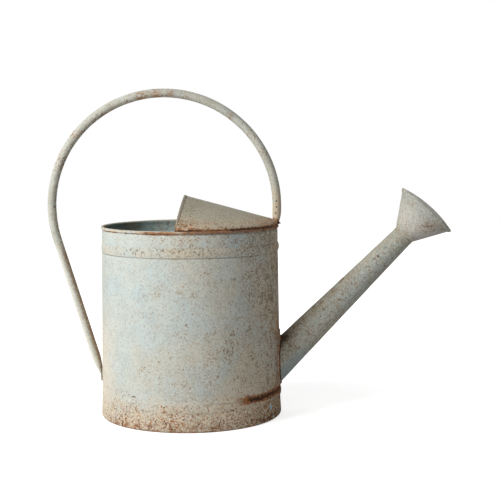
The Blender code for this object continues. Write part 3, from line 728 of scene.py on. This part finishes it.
def piece(name, bm, materials):
    """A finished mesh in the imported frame, riding on the one body."""
    bmesh.ops.recalc_face_normals(bm, faces=bm.faces)
    bmesh.ops.transform(bm, matrix=TO_FRAME, verts=bm.verts)
    for face in bm.faces:
        face.smooth = True
    for edge in bm.edges:
        if edge.is_manifold and edge.calc_face_angle(0) > SMOOTH_ANGLE:
            edge.smooth = False
    obj = to_object(name, bm)
    for material in materials:
        obj.data.materials.append(material)
    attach(obj, "root")
    return obj


def skin_rows(bm, rows, closed=True, index=0, ends="open"):
    """Faces between neighbouring rows of vertices; the two ends stay open, get caps or are joined."""
    if ends == "joined":
        rows = rows + rows[:1]
    count = len(rows[0])
    last = count if closed else count - 1
    for near, far in zip(rows, rows[1:]):
        for i in range(last):
            j = (i + 1) % count
            face = bm.faces.new((near[i], near[j], far[j], far[i]))
            face.material_index = index
    if ends == "capped":
        bm.faces.new(rows[0])
        bm.faces.new(rows[-1])


def offset_line(points, distance):
    """The same line moved sideways, to the right of its direction."""
    moved = []
    for i, (r, z) in enumerate(points):
        before = points[max(i - 1, 0)]
        after = points[min(i + 1, len(points) - 1)]
        along = Vector((after[0] - before[0], after[1] - before[1])).normalized()
        moved.append((r + along.y * distance, z - along.x * distance))
    return moved


def solder_line(name, path, radius, sides, seed, material, ends="joined"):
    """A lumpy bead of solder along a path of points."""
    bm = bmesh.new()
    rows = []
    for k, point in enumerate(path):
        along = course(path, k).normalized()
        side = along.orthogonal().normalized()
        other = along.cross(side)
        ring = []
        for angle in turns(sides):
            out = side * cos(angle) + other * sin(angle)
            lump = 1 + 0.45 * noise.noise((point + out * 0.001) * 500 + Vector((seed, 0, 0)))
            ring.append(bm.verts.new(point + out * radius * lump))
        rows.append(ring)
    skin_rows(bm, rows, ends=ends)
    return piece(name, bm, (material,))


def cut(obj, cutter_bm, place):
    """Take a closed mesh away from a piece for good."""
    bmesh.ops.transform(cutter_bm, matrix=place, verts=cutter_bm.verts)
    cutter = to_object("cutter", cutter_bm)
    boolean = obj.modifiers.new("cut", "BOOLEAN")
    boolean.operation = "DIFFERENCE"
    boolean.solver = "EXACT"
    boolean.object = cutter
    bpy.context.view_layer.update()
    graph = bpy.context.evaluated_depsgraph_get()
    result = bpy.data.meshes.new_from_object(obj.evaluated_get(graph))
    obj.modifiers.clear()
    obj.data = result
    bpy.data.objects.remove(cutter)


# Body

def wall_radius(height):
    share = height / (BODY_HEIGHT - RIM_NECK_DROP)
    return WALL_BASE_RADIUS + (WALL_TOP_RADIUS - WALL_BASE_RADIUS) * share


def foot_radius(height):
    top = LOWER_BEAD_HEIGHT - BEAD_HALF_WIDTH
    share = (height - FOOT_ROUND) / (top - FOOT_ROUND)
    return FOOT_RADIUS + (wall_radius(top) - FOOT_RADIUS) * share


def straight(start, end, radius_of, count):
    """Points down a plain stretch of the wall, without its ends."""
    heights = [start + (end - start) * (i + 1) / (count + 1) for i in range(count)]
    return [(radius_of(z) - SHEET / 2, z) for z in heights]


def bead_line(height):
    """A swaged bead with a small crease pressed in along both edges."""
    points = []
    for i in range(BEAD_STEPS + 1):
        share = 1 - 2 * i / BEAD_STEPS
        z = height + share * BEAD_HALF_WIDTH
        crease = BEAD_CREASE if abs(share) == 1 else 0
        points.append((wall_radius(z) - SHEET / 2 + BEAD_PROUD * (1 - share ** 2) - crease, z))
    return points


def body_line():
    """The sheet's middle line, from the curl's end over the rim and down to the foot's flange."""
    half = SHEET / 2
    points = []
    for i in range(CURL_STEPS + 1):
        angle = CURL_END + (pi - CURL_END) * i / CURL_STEPS
        points.append((RIM_RADIUS + CURL_RADIUS * cos(angle), RIM_HEIGHT + CURL_RADIUS * sin(angle)))
    neck = BODY_HEIGHT - RIM_NECK_DROP
    inner = points[-1]
    for share in (0.25, 0.6):
        points.append((inner[0] + (WALL_TOP_RADIUS - half - inner[0]) * share ** 1.3,
                       inner[1] + (neck - inner[1]) * share))
    points.append((WALL_TOP_RADIUS - half, neck))
    points += straight(neck, UPPER_BEAD_HEIGHT + BEAD_HALF_WIDTH, wall_radius, 3)
    points += bead_line(UPPER_BEAD_HEIGHT)
    upper_end = UPPER_BEAD_HEIGHT - BEAD_HALF_WIDTH
    points += straight(upper_end, LOWER_BEAD_HEIGHT + BEAD_HALF_WIDTH, wall_radius, 26)
    points += bead_line(LOWER_BEAD_HEIGHT)
    points += straight(LOWER_BEAD_HEIGHT - BEAD_HALF_WIDTH, FOOT_ROUND, foot_radius, 4)
    corner = FOOT_ROUND - half
    for i in range(7):
        angle = -pi / 2 * i / 6
        points.append((FOOT_RADIUS - FOOT_ROUND + corner * cos(angle), FOOT_ROUND + corner * sin(angle)))
    points.append((FOOT_RADIUS - FOOT_ROUND - FOOT_FLANGE_WIDTH, half))
    return points


def bead_share(angle, height):
    """How much of a bead is left: time has pressed it flat except on the spout's side."""
    spout_side = 0.5 + 0.5 * cos(angle)
    if height > BODY_HEIGHT / 2:
        return 0.45 + 0.4 * spout_side ** 3
    return 0.12 + 0.7 * spout_side ** 4


def wall_shift(angle, height):
    """How far the wall stands in or out at a place: shallow dents and the lap seam."""
    place = Vector((cos(angle), sin(angle), height / WALL_TOP_RADIUS)) * (WALL_TOP_RADIUS / DENT_SPACING)
    above = min(max((height - DENT_LOW) / DENT_FADE, 0), 1)
    below = min(max((DENT_HIGH - height) / DENT_FADE, 0), 1)
    away = abs(angle) > DENT_FREE_ANGLE
    shift = DENT * noise.noise(place) * (above * below) * (1 if away else 0)
    for bead in (UPPER_BEAD_HEIGHT, LOWER_BEAD_HEIGHT):
        share = (height - bead) / BEAD_HALF_WIDTH
        if abs(share) < 1:
            shift -= BEAD_PROUD * (1 - share ** 2) * (1 - bead_share(angle, bead))
    past = (angle - SEAM_ANGLE) / SEAM_WIDTH
    if 0 <= past < 1 and SEAM_LOW < height < SEAM_HIGH:
        shift += SHEET * (1 - past) ** 2
    return shift


def make_body(paint, inside):
    line = body_line()
    over = offset_line(line, SHEET / 2)
    under = offset_line(line, -SHEET / 2)
    angles = sorted([-pi + turn for turn in turns(WALL_SIDES)] + [SEAM_ANGLE - SEAM_STEP])
    bm = bmesh.new()
    rows = []
    for r, z in over + under[::-1]:
        rows.append([bm.verts.new(polar(r + wall_shift(a, z), a, z)) for a in angles])
    rows.append(rows[0])
    skin_rows(bm, rows[:CURL_STEPS])
    skin_rows(bm, rows[CURL_STEPS - 1:len(over)], index=1)
    skin_rows(bm, rows[len(over) - 1:])
    body = piece("wall_skin", bm, (paint, inside))
    cut(body, spout_cutter(), TO_FRAME)
    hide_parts("body_wall")


# Hood

def hood_arch(t):
    """The hood's cross-section: 1 at the soft ridge, 0 at the edge, where it stands upright."""
    soft = HOOD_RIDGE_SOFTNESS
    eased = (sqrt(t * t + soft * soft) - soft) / (sqrt(1 + soft * soft) - soft)
    return max(1 - eased, 0) ** HOOD_SIDE_POWER


def hood_height(x, y):
    """The hood's rise over its seat."""
    radius = HOOD_SEAT_RADIUS
    share = (radius - x) / (radius + HOOD_TOP_SETBACK)
    half_width = sqrt(max(radius * radius - x * x, 1e-9))
    ridge = HOOD_NOSE_RISE + (HOOD_MOUTH_RISE - HOOD_NOSE_RISE) * share
    return HOOD_SKIRT + (ridge - HOOD_SKIRT) * hood_arch(min(abs(y) / half_width, 1))


def hood_grid():
    """Points of the hood's skin in columns, each from the seat on the rim to the mouth's edge."""
    radius = HOOD_SEAT_RADIUS
    corner_y = radius * sin(HOOD_HALF_ANGLE)
    grid = []
    for i in range(HOOD_COLUMNS + 1):
        even = 2 * i / HOOD_COLUMNS - 1
        share = sin(pi / 2 * even) * 0.35 + even * 0.65
        angle = HOOD_HALF_ANGLE * share
        mouth_y = corner_y * sin(pi / 2 * share)
        arch = hood_arch(abs(mouth_y) / corner_y)
        mouth_x = -HOOD_CORNER_SETBACK + (HOOD_CORNER_SETBACK - HOOD_TOP_SETBACK) * arch
        column = [polar(radius, angle, RIM_SEAT)]
        length = Vector((radius * cos(angle) - mouth_x, radius * sin(angle) - mouth_y)).length
        runs = [(j / HOOD_ROWS) ** 2 for j in range(HOOD_ROWS)]
        for inset in (HEM_WIDTH + HEM_CREASE, HEM_WIDTH):
            runs.append(1 - min(inset / max(length, 1e-6), 0.04 * inset / HEM_WIDTH))
        for run in runs + [1]:
            x = radius * cos(angle) * (1 - run) + mouth_x * run
            y = radius * sin(angle) * (1 - run) + mouth_y * run
            column.append(Vector((x, y, RIM_SEAT + hood_height(x, y))))
        grid.append(column)
    return grid


def grid_normals(grid):
    rows = list(zip(*grid))
    normals = []
    for i, column in enumerate(grid):
        line = []
        for j, point in enumerate(column):
            normal = course(rows[j], i).cross(course(column, j))
            if normal.length < 1e-12:
                normal = Vector((point.x, point.y, 0))
            line.append(normal.normalized())
        normals.append(line)
    return normals


def make_hood(paint, crease):
    """One sheet whose mouth edge is folded over into a hem."""
    grid = hood_grid()
    bm = bmesh.new()
    outer = []
    inner = []
    for column, line in zip(grid, grid_normals(grid)):
        folded = [0] * (len(column) - 2) + [1, 1]
        outer.append([])
        inner.append([])
        for point, normal, fold in zip(column, line, folded):
            outer[-1].append(bm.verts.new(point + normal * HEM_THICKNESS * fold))
            inner[-1].append(bm.verts.new(point - normal * (SHEET + HEM_THICKNESS * fold)))
    over, under = [list(zip(*columns)) for columns in (outer, inner)]
    for rows in (over, under):
        skin_rows(bm, rows[:-2], closed=False)
        # The strip in the hem's crease takes the second material, painted shade.
        skin_rows(bm, rows[-3:-1], closed=False, index=1)
        skin_rows(bm, rows[-2:], closed=False)
    for edges in ((over[-1], under[-1]), (over[0], under[0]), (outer[0], inner[0]), (outer[-1], inner[-1])):
        skin_rows(bm, edges, closed=False)
    hood = piece("hood_skin", bm, (paint, crease))
    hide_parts("hood")


def make_hood_solder(rust):
    """The rusty solder line along the hood's seat."""
    reach = HOOD_HALF_ANGLE
    steps = 260
    angles = [-reach + 2 * reach * k / steps for k in range(steps + 1)]
    path = [polar(HOOD_SEAT_RADIUS, angle, RIM_SEAT + 0.0001) for angle in angles]
    solder_line("hood_solder", path, HOOD_SOLDER, 8, 11, rust, "capped")


# Handle

def pinched(distance, length, half_thickness):
    """Half thickness of the tube at a distance from a pressed end."""
    share = min(distance / length, 1)
    return half_thickness + (HANDLE_RADIUS - half_thickness) * sin(pi / 2 * share)


def handle_stations():
    """Points, directions and half thicknesses along the handle, from its foot to its tail."""
    centre = Vector((HOOP_X, 0, HOOP_HEIGHT))
    tail_x = -(wall_radius(TAIL_HEIGHT) + FIT_GAP + TAIL_HALF_THICKNESS)
    tab_top = Vector((tail_x, 0, TAIL_HEIGHT + TAIL_TAB_LENGTH))
    reach = centre - tab_top
    leg_angle = atan2(reach.z, reach.x) + asin(HOOP_RADIUS / reach.length)
    first = asin((RIM_SEAT - HOOP_HEIGHT) / HOOP_RADIUS)
    last = leg_angle + pi / 2
    stations = []
    for k in range(HOOP_STEPS + 1):
        angle = first + (last - first) * k / HOOP_STEPS
        point = centre + HOOP_RADIUS * Vector((cos(angle), 0, sin(angle)))
        half = pinched(HOOP_RADIUS * (angle - first), FOOT_PINCH, FOOT_HALF_THICKNESS)
        stations.append((point, Vector((-sin(angle), 0, cos(angle))), half))
    stations[0] = (stations[0][0], UP, FOOT_HALF_THICKNESS)
    leg_start = stations[-1][0]
    leg = tab_top - leg_start
    down = leg.normalized()
    for k in range(1, LEG_STEPS + 1):
        share = (k / LEG_STEPS) ** 0.8
        half = pinched(leg.length * (1 - share), TAIL_PINCH, TAIL_HALF_THICKNESS)
        stations.append((leg_start + leg * share, down, half))
    stations[-1] = (tab_top, (down - UP).normalized(), TAIL_HALF_THICKNESS)
    for share in (0.3, 0.6, 0.85, 1):
        stations.append((tab_top - UP * (TAIL_TAB_LENGTH * share), -UP, TAIL_HALF_THICKNESS))
    return stations


def make_handle(paint):
    bm = bmesh.new()
    rows = []
    stations = handle_stations()
    for k, (point, along, half) in enumerate(stations):
        half_width = sqrt(2 * HANDLE_RADIUS ** 2 - half ** 2)
        out = ACROSS.cross(along).normalized()
        round_off = 1 if k < len(stations) - 1 else 0.9
        ring = []
        for angle in turns(HANDLE_SIDES):
            wave = 0.00008 * noise.noise(point * 60 + out * cos(angle) + ACROSS * sin(angle))
            thin = (half + wave - 0.0001) * cos(angle) * round_off
            wide = half_width * sin(angle) * round_off
            ring.append(bm.verts.new(point + out * thin + ACROSS * wide))
        rows.append(ring)
    skin_rows(bm, rows, ends="capped")
    handle = piece("handle_skin", bm, (paint,))
    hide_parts("handle_tube")


def make_foot_solder(rust):
    """A lump of rusty solder round the handle's foot."""
    bm = bmesh.new()
    bmesh.ops.create_icosphere(bm, subdivisions=5, radius=1)
    for vert in bm.verts:
        lump = 1 + 0.35 * noise.noise(vert.co * 1.7 + Vector((2, 0, 0)))
        lump += 0.10 * noise.noise(vert.co * 7 + Vector((0, 2, 0)))
        vert.co = FOOT_SOLDER_PLACE + Vector(c * r for c, r in zip(vert.co * lump, FOOT_SOLDER_REACH))
    piece("foot_solder", bm, (rust,))


# Spout

SPOUT_TAPER = (SPOUT_ROOT_RADIUS - SPOUT_NECK_RADIUS) / SPOUT_LENGTH
SPOUT_ROOT = Vector((wall_radius(SPOUT_ROOT_HEIGHT), 0, SPOUT_ROOT_HEIGHT))
SPOUT_AXIS = Vector((cos(SPOUT_ELEVATION), 0, sin(SPOUT_ELEVATION)))
SPOUT_UP = Vector((-sin(SPOUT_ELEVATION), 0, cos(SPOUT_ELEVATION)))


def spout_point(distance, angle, offset):
    """A point of the spout's outside; angle 0 is its top line."""
    radius = SPOUT_ROOT_RADIUS - SPOUT_TAPER * distance + offset
    out = SPOUT_UP * cos(angle) + ACROSS * sin(angle)
    return SPOUT_ROOT + SPOUT_AXIS * distance + out * radius


def bisect(test, low, high):
    """The place between low and high where the test turns positive."""
    for _ in range(40):
        middle = (low + high) / 2
        if test(middle) > 0:
            high = middle
        else:
            low = middle
    return (low + high) / 2


def at_wall(angle, offset, gap):
    """Distance along the spout where one of its lines comes out of the wall."""
    def outside(distance):
        point = spout_point(distance, angle, offset)
        return sqrt(point.x ** 2 + point.y ** 2) - wall_radius(point.z) - gap
    return bisect(outside, -0.04, 0.06)


def at_neck(angle, offset, gap):
    """Distance along the spout where one of its lines meets the rose's neck plane."""
    def past(distance):
        return (spout_point(distance, angle, offset) - NECK).dot(ROSE_AXIS) + gap
    return bisect(past, SPOUT_LENGTH - 0.02, SPOUT_LENGTH + 0.02)


def spout_lap(angle):
    """The rolled sheet's lap stands proud beside its edge, under the spout and a little behind."""
    past = ((angle - SPOUT_LAP_ANGLE) % (2 * pi)) / SPOUT_LAP_WIDTH
    return SPOUT_SEAM * max(1 - past, 0) ** 2


def spout_cutter():
    """A cone through the wall where the spout opens into the body."""
    bm = bmesh.new()
    rows = []
    for distance in (-0.035, 0.03):
        rows.append([bm.verts.new(spout_point(distance, a, -SHEET - MOUTH_INSET)) for a in turns(96)])
    skin_rows(bm, rows, ends="capped")
    bmesh.ops.recalc_face_normals(bm, faces=bm.faces)
    return bm


def make_spout(paint):
    around = sorted(turns(SPOUT_SIDES) + [SPOUT_LAP_ANGLE - SPOUT_LAP_STEP])
    bm = bmesh.new()
    shells = []
    for offset in (0, -SHEET):
        starts = [at_wall(a, offset, FIT_GAP) for a in around]
        ends = [at_neck(a, offset, FIT_GAP) for a in around]
        rows = []
        for k in range(SPOUT_ROWS + 1):
            share = k / SPOUT_ROWS
            ring = []
            for a, start, end in zip(around, starts, ends):
                wave = 0.00012 * noise.noise(Vector((cos(a), sin(a), share * 9)))
                distance = start + (end - start) * share
                ring.append(bm.verts.new(spout_point(distance, a, offset + spout_lap(a) + wave)))
            rows.append(ring)
        shells.append(rows)
    outer, inner = shells
    for rows in (outer, inner, (outer[0], inner[0]), (outer[-1], inner[-1])):
        skin_rows(bm, rows)
    spout = piece("spout_skin", bm, (paint,))
    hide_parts("spout_tube")


def collar_point(angle, share, lift):
    """A point of the flange: share 0 is at the spout, 1 at its oval outer edge."""
    near = spout_point(at_wall(angle, 0.0002, FIT_GAP), angle, 0.0002)
    top = spout_point(at_wall(0, 0, 0), 0, 0).z + COLLAR_TOP_MARGIN
    bottom = spout_point(at_wall(pi, 0, 0), pi, 0).z - COLLAR_BOTTOM_MARGIN
    middle = (top + bottom) / 2
    half_width = SPOUT_ROOT_RADIUS + COLLAR_SIDE_MARGIN
    turn = atan2(near.y / half_width, (near.z - middle) / ((top - bottom) / 2))
    far_y = half_width * sin(turn)
    far_z = middle + (top - bottom) / 2 * cos(turn)
    y = near.y + (far_y - near.y) * share
    z = near.z + (far_z - near.z) * share
    radius = wall_radius(z) + FIT_GAP + lift
    return Vector((sqrt(radius * radius - y * y), y, z))


def make_collar(paint):
    """The flange's face out to its rounded edge, and back along the wall."""
    bm = bmesh.new()
    rows = []
    for share, lift in ((0, 1), (0.5, 1), (0.9, 1), (0.97, 0.85), (1, 0.45), (1, 0), (0, 0)):
        lift *= COLLAR_THICKNESS
        rows.append([bm.verts.new(collar_point(a, share, lift)) for a in turns(SPOUT_SIDES)])
    skin_rows(bm, rows, ends="joined")
    collar = piece("collar_skin", bm, (paint,))
    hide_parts("spout_collar")


def make_root_solder(rust):
    """The solder that runs round the spout where it leaves the collar."""
    path = [spout_point(at_wall(a, 0.0003, COLLAR_THICKNESS), a, 0.0003) for a in turns(140)]
    solder_line("root_solder", path, ROOT_SOLDER, 10, 5, rust)


# Rose, made round the Z axis; ROSE_PLACE turns that to the rose's own axis at the spout's neck

NECK = SPOUT_ROOT + SPOUT_AXIS * SPOUT_LENGTH
ROSE_AXIS = Vector((cos(ROSE_ELEVATION), 0, sin(ROSE_ELEVATION)))
ROSE_DOWN = Vector((sin(ROSE_ELEVATION), 0, -cos(ROSE_ELEVATION)))
ROSE_PLACE = Matrix.Translation(NECK) @ Matrix((ROSE_DOWN, ACROSS, ROSE_AXIS)).transposed().to_4x4()
ROSE_SLOPE = atan2(ROSE_RADIUS - SPOUT_NECK_RADIUS, ROSE_DEPTH - ROSE_NECK_ROUND / 2)


def rose_shell(name, line, paint):
    """Turn a middle line round the rose's axis and give it the sheet's thickness."""
    bm = bmesh.new()
    rows = []
    for r, z in offset_line(line, SHEET / 2) + offset_line(line, -SHEET / 2)[::-1]:
        rows.append([bm.verts.new(polar(max(r, 1e-5), a, z)) for a in turns(ROSE_SIDES)])
    skin_rows(bm, rows, ends="joined")
    bmesh.ops.transform(bm, matrix=ROSE_PLACE, verts=bm.verts)
    obj = piece(name, bm, (paint,))
    return obj


def make_rose_cone(paint):
    half = SHEET / 2
    neck = SPOUT_NECK_RADIUS - half
    edge_depth = ROSE_DEPTH - SHEET - FIT_GAP - half
    hem_radius = ROSE_RADIUS - half - (ROSE_DEPTH - half - SHEET - edge_depth) * tan(ROSE_SLOPE)
    edge = hem_radius - (SHEET + FIT_GAP) / cos(ROSE_SLOPE)
    start = neck + ROSE_NECK_ROUND * (1 - cos(ROSE_SLOPE)) / 2
    bend = ROSE_NECK_ROUND / 2 + half
    line = []
    for k in range(25):
        share = k / 24
        line.append((edge + (start - edge) * share, edge_depth + (bend - edge_depth) * share))
    line.append((neck + (start - neck) * 0.3, half + ROSE_NECK_ROUND * 0.15))
    line += [(neck, half), (ROSE_SPIGOT, half), (ROSE_SPIGOT, -ROSE_SPIGOT_LENGTH)]
    cone = rose_shell("rose_cone_skin", line, paint)
    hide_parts("rose_cone")


def rose_holes():
    """Rods through every hole of the face, in rings round its middle."""
    bm = bmesh.new()
    for ring in range(ROSE_HOLE_RINGS + 1):
        count = max(6 * ring, 1)
        for i in range(count):
            angle = 2 * pi * (i + 0.5) / count
            x = ring * ROSE_HOLE_PITCH * cos(angle)
            y = ring * ROSE_HOLE_PITCH * sin(angle)
            bmesh.ops.create_cone(
                bm, cap_ends=True, segments=16, radius1=ROSE_HOLE_RADIUS, radius2=ROSE_HOLE_RADIUS,
                depth=4 * ROSE_DOME, matrix=Matrix.Translation((x, y, ROSE_DEPTH)),
            )
    return bm


def make_rose_face(paint):
    """A dome whose edge is turned down over the cone's."""
    half = SHEET / 2
    outer = ROSE_RADIUS - half
    dome_radius = (outer ** 2 + ROSE_DOME ** 2) / (2 * ROSE_DOME)
    reach = asin(outer / dome_radius)
    base = ROSE_DEPTH - half
    line = []
    for k in range(19):
        angle = reach * k / 18
        line.append((dome_radius * sin(angle), base + ROSE_DOME - dome_radius * (1 - cos(angle))))
    line.append((outer + half * 0.3, base - SHEET * 0.35))
    line.append((outer, base - SHEET))
    line.append((outer - ROSE_HEM * sin(ROSE_SLOPE), base - SHEET - ROSE_HEM * cos(ROSE_SLOPE)))
    face = rose_shell("rose_face_skin", line, paint)
    cut(face, rose_holes(), TO_FRAME @ ROSE_PLACE)
    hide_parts("rose_face")


def make_neck_solder(paint):
    path = [ROSE_PLACE @ polar(SPOUT_NECK_RADIUS, a, -0.0002) for a in turns(ROSE_SIDES)]
    solder_line("neck_solder", path, NECK_SOLDER, 8, 3, paint)


# Stage

def make_floor():
    """Pale and matt; the camera also sees it glow, up to white away from the can."""
    bpy.ops.mesh.primitive_plane_add(size=FLOOR_SIZE)
    floor = bpy.context.object
    floor.name = "studio_floor"
    material = bpy.data.materials.new("studio_floor")
    material.use_nodes = True
    tree = material.node_tree
    tree.nodes.clear()
    place = add_node(tree, "TexCoord").outputs["Object"]
    away = add_node(tree, "VectorMath", {0: place}, operation="LENGTH").outputs["Value"]
    ends = {"From Min": FLOOR_NEAR, "From Max": FLOOR_FAR, "To Min": FLOOR_GLOW_NEAR, "To Max": 1.0}
    fade = add_node(tree, "MapRange", {"Value": away, **ends}).outputs["Result"]
    seen = Field(fade) * add_node(tree, "LightPath").outputs["Is Camera Ray"]
    glow = add_node(tree, "Emission", {"Strength": seen}).outputs["Emission"]
    grey = (FLOOR_GREY, FLOOR_GREY, FLOOR_GREY, 1)
    matt = add_node(tree, "BsdfDiffuse", {"Color": grey}).outputs["BSDF"]
    both = add_node(tree, "AddShader", {0: matt, 1: glow}).outputs["Shader"]
    add_node(tree, "OutputMaterial", {"Surface": both})
    floor.data.materials.append(material)


def make_world():
    """White to the camera and in reflections, dim and even as light."""
    world = bpy.data.worlds.new("studio")
    bpy.context.scene.world = world
    world.use_nodes = True
    tree = world.node_tree
    rays = add_node(tree, "LightPath").outputs
    seen = Field(rays["Is Camera Ray"])
    for kind in ("Is Glossy Ray", "Is Transmission Ray"):
        seen = seen.math("MAXIMUM", seen, rays[kind])
    level = add_node(tree, "MapRange", {"Value": seen, "To Min": WORLD_LIGHT, "To Max": 1.0})
    background = tree.nodes["Background"].inputs
    plug(background["Color"], (1, 1, 1, 1))
    plug(background["Strength"], level.outputs["Result"])


def make_lamp(name, azimuth, elevation, distance, size, power):
    """A square lamp that faces the middle of the can; azimuth 0 is the camera's side, left is negative."""
    way = Vector((sin(azimuth) * cos(elevation), -cos(azimuth) * cos(elevation), sin(elevation)))
    lamp = bpy.data.lights.new(name, "AREA")
    lamp.shape = "SQUARE"
    lamp.size = size
    lamp.energy = power
    obj = add_object(name, lamp)
    obj.location = LAMP_AIM + way * distance
    obj.rotation_euler = way.to_track_quat("Z", "Y").to_euler()


def make_camera():
    data = bpy.data.cameras.new("photo_camera")
    data.lens = CAMERA_LENS
    data.sensor_width = SENSOR_WIDTH
    camera = add_object("photo_camera", data)
    look = Matrix.Rotation(pi / 2 - CAMERA_PITCH, 4, "X") @ Matrix.Rotation(CAMERA_ROLL, 4, "Z")
    camera.matrix_world = Matrix.Translation(CAMERA_PLACE) @ look
    bpy.context.scene.camera = camera


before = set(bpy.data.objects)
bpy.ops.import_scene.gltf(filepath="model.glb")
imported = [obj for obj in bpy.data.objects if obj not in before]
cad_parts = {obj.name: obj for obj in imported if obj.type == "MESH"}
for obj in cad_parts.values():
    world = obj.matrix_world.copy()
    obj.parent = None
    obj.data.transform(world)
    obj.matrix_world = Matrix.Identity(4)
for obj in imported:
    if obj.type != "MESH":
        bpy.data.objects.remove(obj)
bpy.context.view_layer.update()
WIRE_LOW, WIRE_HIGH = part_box("rim_wire")
AXIS_X = (WIRE_LOW.x + WIRE_HIGH.x) / 2
ORIGIN = (AXIS_X, 0, 0)
TO_FRAME = Matrix.Translation(ORIGIN)

body_paint = body_coat()
rose_paint = rose_coat()
solder_rust = rust_coat()

make_body(body_paint, inside_coat())
make_hood(hood_coat(), crease_coat())
make_hood_solder(solder_rust)
make_handle(handle_coat())
make_foot_solder(solder_rust)
make_spout(spout_coat())
make_collar(body_paint)
make_root_solder(solder_rust)
make_rose_cone(rose_paint)
make_rose_face(rose_paint)
make_neck_solder(rose_paint)
for node, material in (("bottom_disc", body_paint), ("rim_wire", solder_rust)):
    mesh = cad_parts[node].data
    mesh.materials.clear()
    mesh.materials.append(material)

make_floor()
make_world()
make_lamp("key", radians(-56), radians(28), 2.2, 1.3, 47)
make_lamp("fill", radians(2), radians(36), 2.6, 1.8, 5)
make_lamp("top", radians(150), radians(70), 2.2, 1.5, 7)
make_camera()
bpy.context.scene.view_settings.view_transform = "Standard"
